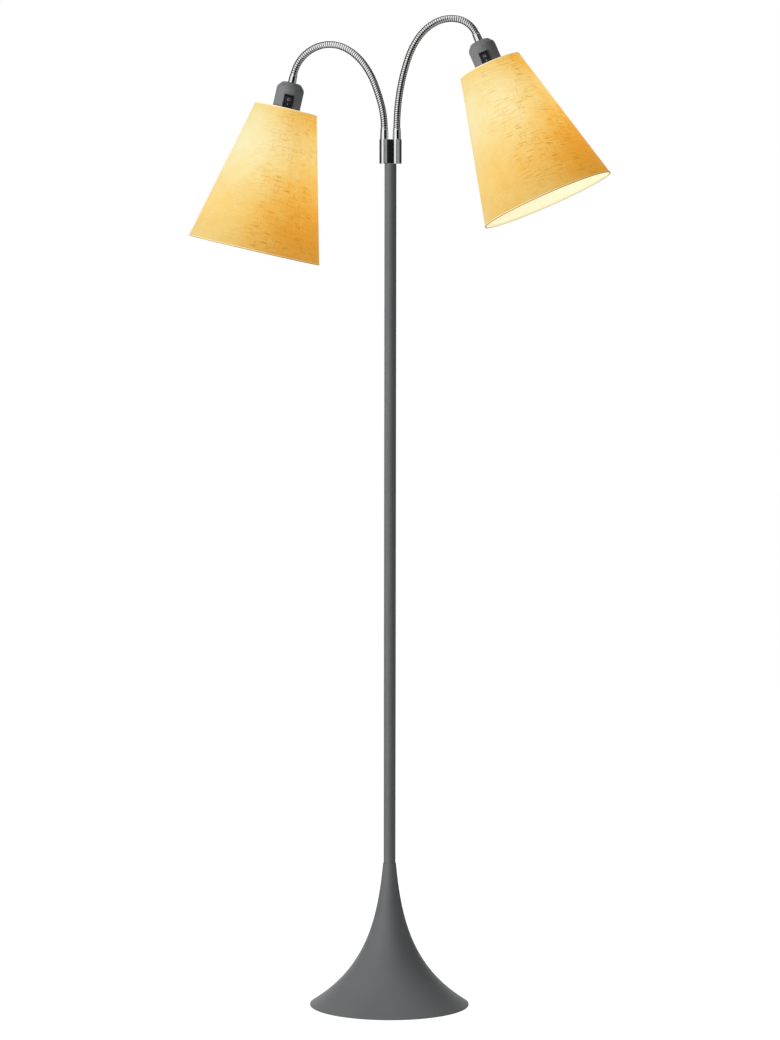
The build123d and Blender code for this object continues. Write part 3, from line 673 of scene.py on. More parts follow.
def tape_finish():
    """The linen's painted glow with painted light and shade lines along both edges; inside, a painted cream
    glow with painted shade at the fold.
    """
    material, tree, shader = new_finish("binding", Emission_Strength=1.0, Roughness=0.8)
    cloth = add(tree, "UVMap", uv_map="cloth").outputs[0]
    down, facing = fan_places(tree, cloth)
    to_edge = maths(tree, "MINIMUM", down, maths(tree, "SUBTRACT", 1.0, down))
    from_edge = spread(tree, to_edge, 0.0, 1.0, 0.0, binding_width / shade_height)
    weave = spread(tree, threads(tree, cloth, 5.0, 0.4), -0.04, 0.04)
    # Painted light: a pale line along the top edge, and a painted highlight above the fold at the mouth.
    painted_edge_light = by_distance(tree, down, from_edge, ((0, 0.9), (1.3, 0.9), (1.8, 0.1), (3, 0.0)),
                       ((0, 0.0), (0.9, 0.0), (1.2, 0.55), (2.3, 0.55), (2.6, 0.0)))
    # Painted shade at the mouth: dark at the fold and faintly darker where the tape ends.
    power = by_distance(tree, down, from_edge, ((0, 1.0), (3, 1.0)),
                        ((0, 0.40), (0.8, 0.42), (1.1, 1.0), (2.3, 1.0), (2.6, 0.84), (3, 0.84)))
    # Painted light: the lines are paler on the side towards the window.
    window_lit_line = tint(tree, spread(tree, facing, 0.0, 1.0, -0.9, 0.3), (0.50, 0.43, 0.20), (0.92, 0.82, 0.55))
    lined = tint(tree, painted_edge_light, glow_colour(tree, down, facing, weave), window_lit_line)
    outside = add(tree, "VectorMath", {0: lined, 1: power}, operation="MULTIPLY").outputs[0]
    # Inside, the emission is a painted cream glow for the bulb's light, darkened at the fold as painted
    # shade.
    cream = (0.92, 0.86, 0.60)
    inner_glow_and_fold_shade = colour_ramp(tree, from_edge, [(0.0, (0.40, 0.34, 0.12)), (0.16, (0.45, 0.38, 0.14)),
                                              (0.30, cream), (1.0, cream)])
    is_inside = add(tree, "Attribute", attribute_name="depth").outputs["Fac"]
    tree.links.new(tint(tree, is_inside, outside, inner_glow_and_fold_shade), shader.inputs["Emission Color"])
    tree.links.new(tint(tree, weave, (0.20, 0.14, 0.045), (0.23, 0.17, 0.06)), shader.inputs["Base Color"])
    return material


tape = tape_finish()
print("tape:", binding_width, "mm wide on each side of the fold")

# %% Lining, wires and bulb
def lining_finish():
    """Smooth film with a painted glow for the bulb's light on it, brightest beside the bulb; the distance
    down the fan comes from the UV.
    """
    material, tree, shader = new_finish("shade_lining", Roughness=0.45, Emission_Strength=1.0)
    cloth = add(tree, "UVMap", uv_map="cloth").outputs[0]
    down = fan_places(tree, cloth)[0]
    film = spread(tree, noise(tree, cloth, 60.0, 3.0), 0.97, 1.03)
    # Painted glow for the bulb's light on the film, brightest a little below the top.
    glow = colour_ramp(tree, down, [(0.0, (0.70, 0.58, 0.33)), (0.4, (0.92, 0.84, 0.60)),
                                    (1.0, (0.86, 0.77, 0.49))])
    tree.links.new(scaled_colour(tree, glow, film), shader.inputs["Emission Color"])
    tree.links.new(tint(tree, film, (0.36, 0.33, 0.24), (0.40, 0.36, 0.27)), shader.inputs["Base Color"])
    return material


def opal_finish():
    """Opal glass, lit from inside, with the gloss of glass and a faint haze."""
    material, tree, shader = new_finish("opal_glass", Roughness=0.12, Emission_Strength=1.5, Coat_Weight=0.3)
    haze = noise(tree, object_coordinates(tree), 25.0, 2.0)
    tree.links.new(tint(tree, haze, (0.95, 0.88, 0.72), (1.0, 0.94, 0.80)), shader.inputs["Emission Color"])
    tree.links.new(tint(tree, haze, (0.60, 0.58, 0.52), (0.66, 0.64, 0.58)), shader.inputs["Base Color"])
    return material


lining = lining_finish()
opal_glass = opal_finish()
# The wires' emission is a painted glow, for the bulb's light on them inside the shade.
coated_wire = grained("coated_wire", (0.36, 0.33, 0.24), (0.40, 0.36, 0.27), (0.4, 0.55), 0.5, 0.01,
                      Emission_Color=(0.84, 0.75, 0.48, 1.0), Emission_Strength=0.9)
print("finishes in all:", len(bpy.data.materials))

# %% [markdown]
# ## The foot
#
# The foot is one spun sheet: its radius is a thin core plus a width that dies away exponentially with
# height, which gives the long trumpet sweep. The wall runs up the outside, rolls over at the collar round
# the stem and comes back down inside, so the sheet has a real thickness at its rim. A notch at the back
# lets the cord's rubber bush through; it is cut with a plug of the bush's own shape.

# %% Sweep of the foot
def flare_radius(height):
    """Core plus a width that falls by 1/e for each flare_decay of height."""
    return flare_core + (foot_radius - flare_core) * np.exp((rim_height - height) / flare_decay)


def flare_wall(height, inset):
    """Points of the sweep, moved inwards at right angles to it."""
    slope = -(flare_radius(height) - flare_core) / flare_decay
    length = np.sqrt(1 + slope ** 2)
    return np.stack([flare_radius(height) - inset / length, height + inset * slope / length], -1)


def foot_section():
    """Outside wall upwards, a rounded collar and the inside wall downwards, with a turned-under rim."""
    hole, collar_radius = stem_radius + 0.05, flare_radius(foot_height)
    rise = rim_height + (foot_height - 0.5 - rim_height) * np.linspace(0, 1, 90) ** 1.25
    outside, inside = flare_wall(rise, 0.0), flare_wall(rise[::-3], shell_wall)
    inside = np.maximum(inside, [[hole, rim_lift + 0.3]])
    collar = np.array([[collar_radius - 0.12, foot_height - 0.12], [collar_radius - 0.4, foot_height],
                       [hole, foot_height]])
    edge = np.array([[foot_radius - 0.55, rim_lift], [foot_radius - 0.15, rim_lift + 0.15]])
    return np.concatenate([edge, outside, collar, inside])


foot = turned("foot_trumpet", foot_section(), UPRIGHT, powder_grey, 180)
print("foot: collar radius", round(float(flare_radius(foot_height)), 2), "mm")

# %% Inlet
inlet_half_width, inlet_height, inlet_depth, inlet_overrun = 4.6, 8.05, 24.0, 4.0


def inlet_plug():
    """A block with the bush's outline, a round top on straight sides down past the floor, that reaches from
    outside the rim inwards."""
    arch, below = np.linspace(0, pi, 17), -2.0
    outline = np.stack([inlet_half_width * np.cos(arch), inlet_height + inlet_half_width * np.sin(arch)], -1)
    outline = np.concatenate([[[inlet_half_width, below]], outline, [[-inlet_half_width, below]]])
    rings = np.stack([np.stack([outline[:, 0], np.full(len(outline), y), outline[:, 1]], -1)
                      for y in (foot_radius + inlet_overrun, foot_radius - inlet_depth)])
    count = len(outline)
    faces = grid_faces(2, count)[0].tolist() + [list(range(count))[::-1], list(range(count, 2 * count))]
    mesh = bpy.data.meshes.new("inlet_plug")
    mesh.from_pydata((rings.reshape(-1, 3) * MM).tolist(), [], faces)
    return new_object("inlet_plug", mesh)


def cut_inlet(piece):
    """Takes the plug out of the shell's back; the mesh becomes what is left."""
    plug = inlet_plug()
    cut = piece.modifiers.new("inlet", "BOOLEAN")
    cut.object, cut.operation, cut.solver = plug, "DIFFERENCE", "EXACT"
    graph = bpy.context.evaluated_depsgraph_get()
    result = bpy.data.meshes.new_from_object(piece.evaluated_get(graph))
    piece.modifiers.clear()
    piece.data = result
    bpy.data.objects.remove(plug)


cut_inlet(foot)
stand_in(foot, "base_shell", "root")
print("foot:", len(foot.data.polygons), "faces after the inlet is cut")

# %% [markdown]
# ## The stem and hub
#
# The stem is a plain tube. The hub is a block of two upright barrels with a flat web between them. Its
# outline, seen from above, is two arcs and two straight lines, and the block is that outline carried
# upwards, drawn in a little at both ends. The outline is the same on both sides of its long axis, so its
# ends close with a strip of faces from side to side.

# %% Stem
tube = rounded((stem_radius, stem_bottom), (stem_radius, stem_top, 0.25), (stem_bore, stem_top, 0.2),
               (stem_bore, stem_bottom))
stem = turned("stem_sleeve", tube, UPRIGHT, powder_grey, 64)
stand_in(stem, "stem_tube", "root")
print("stem:", round(stem_top - foot_height), "mm show above the foot")

# %% Outline of the hub
def strip(count):
    """Faces across a closed outline whose points j and count - j mirror each other."""
    j = np.arange(count // 2)
    return np.stack([j, j + 1, (count - j - 1) % count, (count - j) % count], -1)


def stacked(rings):
    """Sides and both ends of a stack of outlines, each mirrored about its first axis."""
    rows, count = rings.shape[:2]
    ends = [strip(count)[:, ::-1], strip(count) + (rows - 1) * count]
    return np.concatenate([grid_faces(rows, count)[0], *ends])


def hub_outline(inset, arc_steps=30, web_steps=4):
    """Two barrels' arcs joined by the web's sides, all moved inwards by the inset."""
    radius, web = barrel_radius - inset, web_half - inset
    reach = pi - asin(web / radius)
    arc = np.linspace(0, reach, arc_steps)
    right = np.stack([barrel_offset + radius * np.cos(arc), radius * np.sin(arc)], -1)
    left = right[::-1] * [-1, 1]
    across = np.linspace(right[-1], left[0], web_steps + 2)[1:-1]
    top = np.concatenate([right, across, left])
    return np.concatenate([top, top[-2:0:-1] * [1, -1]])


print("hub outline:", len(hub_outline(0.0)), "points")

# %% Hub
hub_edge, hub_guard = 0.6, 1.0


def quarter_round(radius, steps=5):
    """Insets and distances along a rounded edge: r (1 - sin t) and r (1 - cos t) over a quarter turn."""
    turn = np.linspace(0, pi / 2, steps)
    return radius * (1 - np.sin(turn)), radius * (1 - np.cos(turn))


def hub_rings():
    """Outlines up the block; the insets at its ends follow a quarter circle, with a guard beside each."""
    inset, rise = quarter_round(hub_edge)
    guards = [stem_top + hub_guard, hub_top - hub_guard]
    levels = np.concatenate([stem_top + rise, guards, hub_top - rise[::-1]])
    insets = np.concatenate([inset, [0, 0], inset[::-1]])
    return np.stack([np.concatenate([hub_outline(i), np.full((len(hub_outline(i)), 1), z)], 1)
                     for i, z in zip(insets, levels)])


rings = hub_rings()
hub = make_piece("hub_block", [(rings, stacked(rings), 0)], [chrome], crease=30.0)
stand_in(hub, "twin_hub", "root")
print("hub:", len(rings), "outlines,", len(hub.data.polygons), "faces")

# %% [markdown]
# ## The goosenecks
#
# A gooseneck is a wire wound close, with a narrow key wire between its turns, so a rib climbs round it like
# a screw thread. The radius is therefore a function of one number, the turns climbed: distance over pitch,
# less the angle round the neck. Within a turn it rises over a flat-topped rib and falls to a groove, in
# which shade is painted dark.
#
# A real neck bends anywhere. Here it is cut halfway between the joints; the piece over each joint is left
# where it is made, tied to no body.

# %% Hose surface
rib_share, groove_radius, rib_height = 0.74, 5.1, 0.15
rib_samples, hose_columns = 14, 44


def over_rib(turns):
    """1 - a^6 over the rib, where a runs from -1 to 1 across it; 0 in the groove."""
    across = 2 * (turns % 1.0) / rib_share - 1
    return np.clip(1 - across ** 6, 0, 1)


def tube_points(arm, distance, radius):
    """Rings round the centreline; radius may be a number or a rows x columns array."""
    centre, lean = walk(arm, distance)
    tangent = leaning(arm, lean)
    across = np.cross([0.0, 0.0, 1.0], outward(arm))
    upper = np.cross(tangent, across)
    angle = np.linspace(0, 2 * pi, hose_columns, endpoint=False)
    radius = np.broadcast_to(radius, (len(centre), hose_columns))[..., None]
    ring = np.cos(angle)[None, :, None] * across + np.sin(angle)[None, :, None] * upper[:, None, :]
    return centre[:, None, :] + radius * ring


def hose_piece(name, arm, start, end):
    """Ribbed outside from start to end and a smooth bore back, closed at both ends."""
    rows = round((end - start) / rib_pitch * rib_samples) + 1
    distance = np.linspace(start, end, rows)
    turns = distance[:, None] / rib_pitch - np.linspace(0, 1, hose_columns, endpoint=False)
    crest = over_rib(turns)
    outside = tube_points(arm, distance, groove_radius + rib_height * crest)
    inside = tube_points(arm, distance[::-rib_samples], neck_bore)
    points = np.concatenate([outside, inside])
    depth = np.concatenate([1 - crest, np.ones(inside.shape[:2])])
    faces = grid_faces(len(points), hose_columns, closed_rows=True)[0]
    return make_piece(name, [(points, faces, 0)], [hose_chrome], depth=depth, crease=50.0)


print("one rib climbs", round(rib_pitch, 3), "mm per turn")

# %% Lay the hoses over the joints
def lay_hose(side, arm):
    """A half length at each end, which rides on the root or the head, and a piece over each joint, tied to no
    body.
    """
    count = len(arm["turns"])
    bodies = ["root"] + [f"{side}_arm_{k}" for k in range(2, count)] + [f"{side}_head"]
    half, inner = neck_length / 2, 2.2
    for k in range(count + 1):
        start, end = max(0.0, k * neck_length - half), min(count * neck_length, k * neck_length + half)
        piece = hose_piece(f"{side}_hose_{k}", arm, start, end)
        nodes = [f"{side}_neck_{n}" for n in (k, k + 1) if 1 <= n <= count]
        if k in (0, count):
            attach(piece, bodies[min(k, count - 1)])
        else:
            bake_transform(piece)
        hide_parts(*nodes)
    return count + 1


for side, arm in ARMS.items():
    print(side, "hose:", lay_hose(side, arm), "pieces")

# %% [markdown]
# The smooth sleeves at both ends of a neck are turned. Each is a little conical, wider at its shoulder
# than at the free end where it was rolled onto the hose, and a fine groove marks where it grips.

# %% Ferrules
shoulder_radius, free_radius, sleeve_bore = 6.4, 5.95, 5.35
groove_from_end, groove_half, groove_depth = 2.2, 0.45, 0.22


def sleeve_section(shoulder, free):
    """Hollow sleeve from its shoulder to its free end, either way along the axis."""
    way = np.sign(free - shoulder)
    grip = free - groove_from_end * way

    def outer(height):
        """Radius at a height: it falls evenly from the shoulder to the free end."""
        share = (height - shoulder) / (free - shoulder)
        return shoulder_radius + (free_radius - shoulder_radius) * share

    before, after = grip - groove_half * way, grip + groove_half * way
    loop = [(shoulder_radius, shoulder, 0.15), (outer(before), before, 0.15),
            (outer(grip) - groove_depth, grip, 0.15), (outer(after), after, 0.15),
            (free_radius, free, 0.35), (sleeve_bore, free, 0.08), (sleeve_bore, shoulder, 0.08)]
    return rounded(*(loop if way > 0 else loop[::-1]), closed=True)


def ferrules(side, arm):
    """The sleeve on the hub and the one on the lampholder."""
    barrel = (np.array([arm["side"] * barrel_offset, 0.0, 0.0]), np.eye(3))
    root = turned(f"{side}_root_sleeve", sleeve_section(hub_top, neck_start), barrel, chrome, 64)
    tip = turned(f"{side}_tip_sleeve", sleeve_section(0.0, -tip_ferrule), head_place(arm), chrome, 64)
    stand_in(root, f"{side}_root_ferrule", "root")
    stand_in(tip, f"{side}_tip_ferrule", f"{side}_head")


for side, arm in ARMS.items():
    ferrules(side, arm)
print("four ferrules, radius", shoulder_radius, "to", free_radius, "mm")

# %% [markdown]
# ## The lampholders
#
# A lampholder is a cap screwed onto a tube. The cap is flat on top and slopes at its shoulder, with soft
# corners. The tube carries a flat pad for the switch: beside the switch its surface leaves the cylinder
# and follows a plane that touches it in front. The pad's edge is a smooth step in that blend, and the
# window behind the switch is a set of faces that are left out.

# %% Holder cap
def cap_section():
    """Flat top, a sloping shoulder that stays inside the tube's edge, and the inside back up."""
    edge, seam, hole = holder_radius - 0.45, cap_height - 0.02, 5.1
    outside = rounded((hole, 0.0), (13.6, 0.0, 6.0), (edge - 0.25, 7.6, 3.4), (edge, seam), steps=8)
    inside = rounded((holder_radius - holder_wall, seam), (18.2, 8.8, 1.0), (11.2, holder_wall, 1.5),
                     (hole, holder_wall))
    return np.concatenate([outside, inside])


for side, arm in ARMS.items():
    cap = turned(f"{side}_cap_shoulder", cap_section(), head_place(arm), holder_grey, 96)
    stand_in(cap, f"{side}_holder_cap", f"{side}_head")
print("cap section:", len(cap_section()), "points")

# %% A wall with an opening
def smooth_step(value):
    """0 below 0, 1 above 1 and v v (3 - 2 v) between."""
    value = np.clip(value, 0, 1)
    return value * value * (3 - 2 * value)


def hollow_skin(rows, columns, hole):
    """Faces of a tube wall with matching grids outside and inside; hole marks the cells that are left open.
    Wherever an open cell or the tube's end borders a closed one, a face joins the two grids."""
    number = np.arange(rows * columns).reshape(rows, columns)
    follow = np.roll(number, -1, 1)
    shift = rows * columns
    kept = ~hole
    cells = np.stack([number[:-1], follow[:-1], follow[1:], number[1:]], -1)[kept]
    faces = [cells, cells[:, ::-1] + shift]
    framed = np.pad(kept, ((1, 1), (0, 0)))
    opens, closes = framed[1:] & ~framed[:-1], framed[:-1] & ~framed[1:]
    for edge, a, b in ((opens, follow, number), (closes, number, follow)):
        faces.append(np.stack([a, b, b + shift, a + shift], -1)[edge])
    left = np.roll(kept, 1, 1)
    for edge, a, b in ((kept & ~left, number[:-1], number[1:]), (left & ~kept, number[1:], number[:-1])):
        faces.append(np.stack([a, b, b + shift, a + shift], -1)[edge])
    return np.concatenate(faces)


no_hole = np.zeros((2, 8), bool)
print("a wall of 3 x 8 points on each side has", len(hollow_skin(3, 8, no_hole)), "faces")

# %% Grid of the holder tube
pad_half = (switch_width / 2 + 0.4, switch_height / 2 + 0.4)
window_half = (switch_width / 2 - 0.95, switch_height / 2 - 0.95)


def holder_grid():
    """Angles round the tube and distances down it, crowded where the pad and the window have edges."""
    pad, window = (degrees(atan(half / holder_radius)) for half in (pad_half[0], window_half[0]))
    close = pad + np.array([0.25, 0.5, 0.75, 1.0, 1.4])
    side_angles = np.concatenate([np.linspace(window, pad, 3)[1:], close, np.linspace(pad + 3, 177, 48)])
    angles = np.concatenate([np.linspace(-window, window, 9), side_angles, -side_angles[::-1]])
    edges = []
    for sign in (-1, 1):
        edges += [switch_middle + sign * window_half[1]]
        edges += [switch_middle + sign * (pad_half[1] + step) for step in (0, 0.1, 0.2, 0.3, 0.4)]
    ends = [cap_height + step for step in (0.02, 0.12, 0.24, 0.36, 0.6)]
    ends += [holder_length - step for step in (0.0, 0.1, 0.22, 0.36, 0.6)]
    plain = np.concatenate([np.linspace(12, 17, 4), np.linspace(21, 37, 6), [41.0, 42.2]])
    return np.radians(angles), np.sort(np.concatenate([edges, ends, plain]))


def window_cells(angle, down):
    """Which cells between the grid's lines lie in the window behind the switch."""
    beside = np.abs((angle + np.roll(angle, -1)) / 2) < atan(window_half[0] / holder_radius)
    beside &= np.abs(angle) < 1.0
    level = np.abs((down[1:] + down[:-1]) / 2 - switch_middle) < window_half[1]
    return level[:, None] & beside[None, :]


angle, down = holder_grid()
open_cells = int(window_cells(angle, down).sum())
print("holder tube:", len(down), "x", len(angle), "points,", open_cells, "cells open behind the switch")

# %% Holder tube with its switch pad
tube_fillet, fillet_share, pad_step = 0.35, 0.9, (0.35, 0.4)


def tube_radii(angle, down):
    """Outer radius R, or R / cos(angle) where the flat pad is; both ends draw in by f - sqrt(f f - x x),
    where f is the fillet and x is how far a point lies past the fillet's start."""
    sideways = pad_half[0] + pad_step[0] - np.abs(holder_radius * np.tan(np.clip(angle, -1.2, 1.2)))
    lengthways = pad_half[1] + pad_step[1] - np.abs(down - switch_middle)
    ahead = np.cos(angle) > 0.5
    across = smooth_step(sideways / pad_step[0]) * ahead
    lift = smooth_step(lengthways / pad_step[1])[:, None] * across[None, :]
    flat = holder_radius / np.where(ahead, np.cos(angle), 1.0)
    to_end = np.minimum(down - cap_height, holder_length - down)
    corner = tube_fillet - np.sqrt(tube_fillet ** 2 - np.clip(tube_fillet - to_end, 0, tube_fillet) ** 2)
    return holder_radius + lift * (flat - holder_radius) - corner[:, None] * fillet_share


def holder_tube():
    """The wall's outer and inner grids, and its faces without those in the window."""
    angle, down = holder_grid()
    walls = np.stack([ring_points(radius, angle, down[:, None])
                      for radius in (tube_radii(angle, down), holder_radius - holder_wall)])
    return walls, hollow_skin(len(down), len(angle), window_cells(angle, down))


for side, arm in ARMS.items():
    walls, faces = holder_tube()
    points = place_points(walls, head_place(arm))
    tube = make_piece(f"{side}_holder_tube", [(points, faces, 0)], [holder_grey])
    stand_in(tube, f"{side}_holder_body", f"{side}_head")
print("holder tube:", len(faces), "faces")

# %% Threaded skirt
thread_pitch, thread_depth = 2.0, 0.45


def threaded_skirt():
    """Thin tube with a rounded thread: radius is the root plus half a wave of the turns climbed. The wave
    grows from nothing below the holder and dies away before the end."""
    end = holder_length + skirt_length
    down = np.linspace(holder_length - 0.02, end, 141)
    angle = np.linspace(0, 2 * pi, 72, endpoint=False)
    turns = down[:, None] / thread_pitch - angle / (2 * pi)
    fade = smooth_step((down - holder_length - 1.5) / 2) * smooth_step((end - 0.8 - down) / 1.5)
    wave = 0.5 + 0.5 * np.cos(2 * pi * turns)
    radius = skirt_radius - thread_depth + fade[:, None] * thread_depth * wave
    outer = ring_points(radius, angle, down[:, None])
    return np.concatenate([outer, ring_points(skirt_bore, angle, down[[-1, 0], None])])


for side, arm in ARMS.items():
    skirt = threaded_skirt()
    faces = grid_faces(len(skirt), skirt.shape[1], closed_rows=True)[0]
    points = place_points(skirt, head_place(arm))
    thread = make_piece(f"{side}_holder_thread", [(points, faces, 0)], [holder_grey], crease=60.0)
    stand_in(thread, f"{side}_holder_body", f"{side}_head")
print("thread:", skirt_length / thread_pitch, "turns,", thread_depth, "mm deep")

# %% [markdown]
# ## The switches
#
# The bezel is a stack of rounded rectangles: from the back of the box forwards, over the face and down
# into the pocket. The rocker is a shallow V on a pin. Its outline is the same above and below the pin, so
# it is stacked from side to side, drawn in at both sides for a soft edge. Its marks are a ring and a bar,
# the common signs for off and on, as thin raised prints.

# %% Bezel
bezel_lift, box_depth, pocket_depth = 0.9, 10.1, 8.6
pocket_half = (switch_width / 2 - 1.9, 8.79)


def rounded_rectangle(half_width, half_height, corner, steps=6):
    """Outline from the middle of one side round to itself, mirrored about its first axis."""
    quarter = np.linspace(0, pi / 2, steps)
    bow = np.stack([half_height - corner + corner * np.cos(quarter),
                    half_width - corner + corner * np.sin(quarter)], -1)
    top = np.concatenate([[[half_height, 0.0]], bow, bow[::-1] * [-1, 1], [[-half_height, 0.0]]])
    return np.concatenate([top, top[-2:0:-1] * [1, -1]])


def bezel_rings():
    """(half width, half height, corner radius, distance out from the axis) of each outline: the box, the
    frame on the pad with its soft edge, the face, and down into the pocket."""
    width, height = switch_width / 2, switch_height / 2
    inner_width, inner_height = pocket_half
    pad, face = holder_radius + 0.02, holder_radius + bezel_lift
    levels = [(width - 1, height - 1, 0.5, holder_radius - box_depth), (width - 1, height - 1, 0.5, pad),
              (width, height, 0.9, pad), (width, height, 0.9, face - 0.3),
              (width - 0.1, height - 0.1, 0.85, face - 0.09), (width - 0.3, height - 0.3, 0.8, face),
              (inner_width + 0.2, inner_height + 0.2, 0.5, face),
              (inner_width + 0.05, inner_height + 0.05, 0.4, face - 0.06),
              (inner_width, inner_height, 0.35, face - 0.2),
              (inner_width, inner_height, 0.35, holder_radius - pocket_depth)]
    rings = []
    for half_width, half_height, corner, out in levels:
        along, across = rounded_rectangle(half_width, half_height, corner).T
        rings.append(np.stack([np.full(len(along), out), -across, switch_middle + along], -1))
    return np.array(rings)[:, ::-1]


print("bezel:", len(bezel_rings()), "rounded rectangles")

# %% Rocker
key_rise = rocker_length / 2 * sin(radians(rocker_tilt))
key_front, key_keel, key_half_width, key_edge, key_proud = rocker_thickness - 0.4, 2.05, 5.35, 0.3, 0.6


def rocker_outline(inset):
    """V-shaped section, (out, down) from the pin: the tips rise with the tilt; all moved in by the inset."""
    half, middle, tip = rocker_length / 2 - inset, key_front - inset, key_front + key_rise - inset
    side = rounded((middle, 0.0), (tip, half, 0.45), (tip - rocker_thickness + 2 * inset, half, 0.3),
                   (-key_keel + inset, 0.0))
    return np.concatenate([side, side[-2:0:-1] * [1, -1]])


def rocker_rings():
    """Outlines from one side of the key to the other, drawn in by a quarter circle at both sides."""
    inset, rise = quarter_round(key_edge)
    sideways = np.concatenate([-key_half_width + rise, key_half_width - rise[::-1]])
    rings = []
    for shrink, y in zip(np.concatenate([inset, inset[::-1]]), sideways):
        outline = rocker_outline(shrink)
        rings.append(np.stack([outline[:, 0], np.full(len(outline), y), outline[:, 1]], -1))
    return np.array(rings)[:, ::-1]


def rocker_place(place):
    """The pin's axis, with the key turned to its rest, its lower end pressed in."""
    origin, axes = place
    pivot = holder_radius + bezel_lift - rocker_thickness - key_rise + key_proud
    tilt = radians(-rocker_tilt)
    turn = np.array([[cos(tilt), 0.0, -sin(tilt)], [0.0, 1.0, 0.0], [sin(tilt), 0.0, cos(tilt)]])
    return origin + np.array([pivot, 0.0, switch_middle]) @ axes, turn @ axes


print("rocker:", rocker_rings().shape[0], "outlines of", rocker_rings().shape[1], "points")

# %% Marks
mark_lift = 0.05
ring_middle, ring_outer, ring_inner = np.array([0.0, -3.7]), 1.8, 1.25
bar_middle, bar_half_width, bar_half_height = np.array([0.0, 3.3]), 0.28, 1.4


def on_key(flat, lift):
    """Points (sideways, down) laid on the key's front, which rises from the middle to both tips."""
    slope = key_rise / (rocker_length / 2)
    return np.stack([key_front + slope * np.abs(flat[..., 1]) + lift, flat[..., 0], flat[..., 1]], -1)


def printed_ring(columns=40):
    """A raised ring: four circles, on the key and just above it, joined in a loop."""
    angle = np.linspace(0, 2 * pi, columns, endpoint=False)
    circle = np.stack([np.cos(angle), np.sin(angle)], -1)
    loop = ((ring_outer, -mark_lift), (ring_outer, mark_lift), (ring_inner, mark_lift),
            (ring_inner, -mark_lift))
    rings = [on_key(ring_middle + circle * radius, lift) for radius, lift in loop]
    return np.array(rings), grid_faces(4, columns, closed_rows=True)[0]


def printed_bar():
    """A raised bar: the same outline below and above the key's surface."""
    outline = rounded_rectangle(bar_half_width, bar_half_height, 0.12, 4)[:, ::-1] + bar_middle
    rings = np.array([on_key(outline, -mark_lift), on_key(outline, mark_lift)])
    return rings[:, ::-1], stacked(rings)


print("marks: a ring of", 2 * ring_outer, "mm and a bar of", 2 * bar_half_height, "mm")

# %% Put the switches in
for side, arm in ARMS.items():
    place = head_place(arm)
    rings, key = bezel_rings(), rocker_rings()
    box = (place_points(rings, place), stacked(rings), 0)
    bezel = make_piece(f"{side}_switch_bezel", [box], [switch_black])
    at_rest = rocker_place(place)
    parts = [(place_points(key, at_rest), stacked(key), 0)]
    parts += [(place_points(points, at_rest), faces, 1) for points, faces in (printed_ring(), printed_bar())]
    rocker = make_piece(f"{side}_rocker_key", parts, [switch_black, mark_white])
    stand_in(bezel, f"{side}_switch_body", f"{side}_head")
    stand_in(rocker, f"{side}_switch_rocker", f"{side}_rocker")
print("rocker with its marks:", len(rocker.data.polygons), "faces")

# %% [markdown]
# ## The shades
#
# A shade is a cone of linen over a film. Both are closed sheets: down the outside and back up the inside.
# At the back the linen laps over itself, which shows as a fine upright step. Each face corner also gets
# its place in the unrolled cone: at angle a round the shade and slant distance d from the cone's apex, the
# fan's point is (d sin(a k), -d cos(a k)), where k is the sine of the cone's half angle.

# %% Points on the cone
cone_columns, lap_height, lap_inside = 192, 0.35, 0.6


def shade_radius(down):
    """The top radius plus the slope times the distance down from the shade's top."""
    return shade_top_radius + shade_slope * (down - shade_top)


def lap(angle):
    """Lift of the linen where it laps at the back: a quick rise at one edge and a slow fall to the other."""
    behind = (angle - pi) / radians(1.0)
    return lap_height * smooth_step(behind / 0.8 + 0.5) * (1 - smooth_step((behind - 4) / 5))


def sheet_columns():
    """Angles round the shade from the back, crowded at the lap."""
    plain = np.linspace(0, 2 * pi, cone_columns, endpoint=False)
    close = pi + np.radians(np.linspace(-1.2, 1.6, 12))
    return np.sort(np.concatenate([plain[np.abs(plain - pi) > radians(2)], close]))


def cloth_places(corners, angle, height):
    """Place in the unrolled cone, in metres, of each face corner (row, column) of a grid."""
    round_about = np.append(angle, angle[0] + 2 * pi)[corners[..., 1]]
    round_about = round_about - 2 * pi * (round_about.min(1, keepdims=True) >= pi - 1e-6)
    share = (np.append(height, height[:1])[corners[..., 0]] - shade_top) / shade_height
    slant = fan_top + share * (fan_bottom - fan_top)
    turn = round_about * fan_sine
    return np.stack([slant * np.sin(turn), -slant * np.cos(turn)], -1) * MM


print("a shade has", len(sheet_columns()), "columns; its radius grows by", round(shade_slope, 3), "mm per mm")

# %% Conical sheets
sheet_low, sheet_high = shade_top + binding_thickness, shade_bottom - binding_thickness


def sheet_piece(name, place, material, radius, height, depth=None):
    """Closed sheet from radii (rows x columns) and heights (rows), with its cloth coordinates."""
    angle = sheet_columns()
    local = ring_points(radius, angle, height[:, None])
    faces, corners = grid_faces(len(height), len(angle), closed_rows=True)
    return make_piece(name, [(place_points(local, place), faces, 0)], [material],
                      cloth=cloth_places(corners, angle, height), depth=depth)


def conical_sheet(name, place, material, inset, thickness, lapped=False, rows=40):
    """Outside downwards, inside back up; inset and thickness are measured square to the axis. A lap shows
    by its full height outside and by a share of it inside."""
    down = np.linspace(sheet_low, sheet_high, rows)
    lift = lap(sheet_columns()) if lapped else 0 * sheet_columns()
    outer = (shade_radius(down) - inset)[:, None] + lift
    inner = (shade_radius(down[::-1]) - inset - thickness)[:, None] + lift * lap_inside
    radius, height = np.concatenate([outer, inner]), np.concatenate([down, down[::-1]])
    return sheet_piece(name, place, material, radius, height)


print("sheets run from", sheet_low, "to", sheet_high, "mm down the head")

# %% Tapes
tape_fold = 0.35


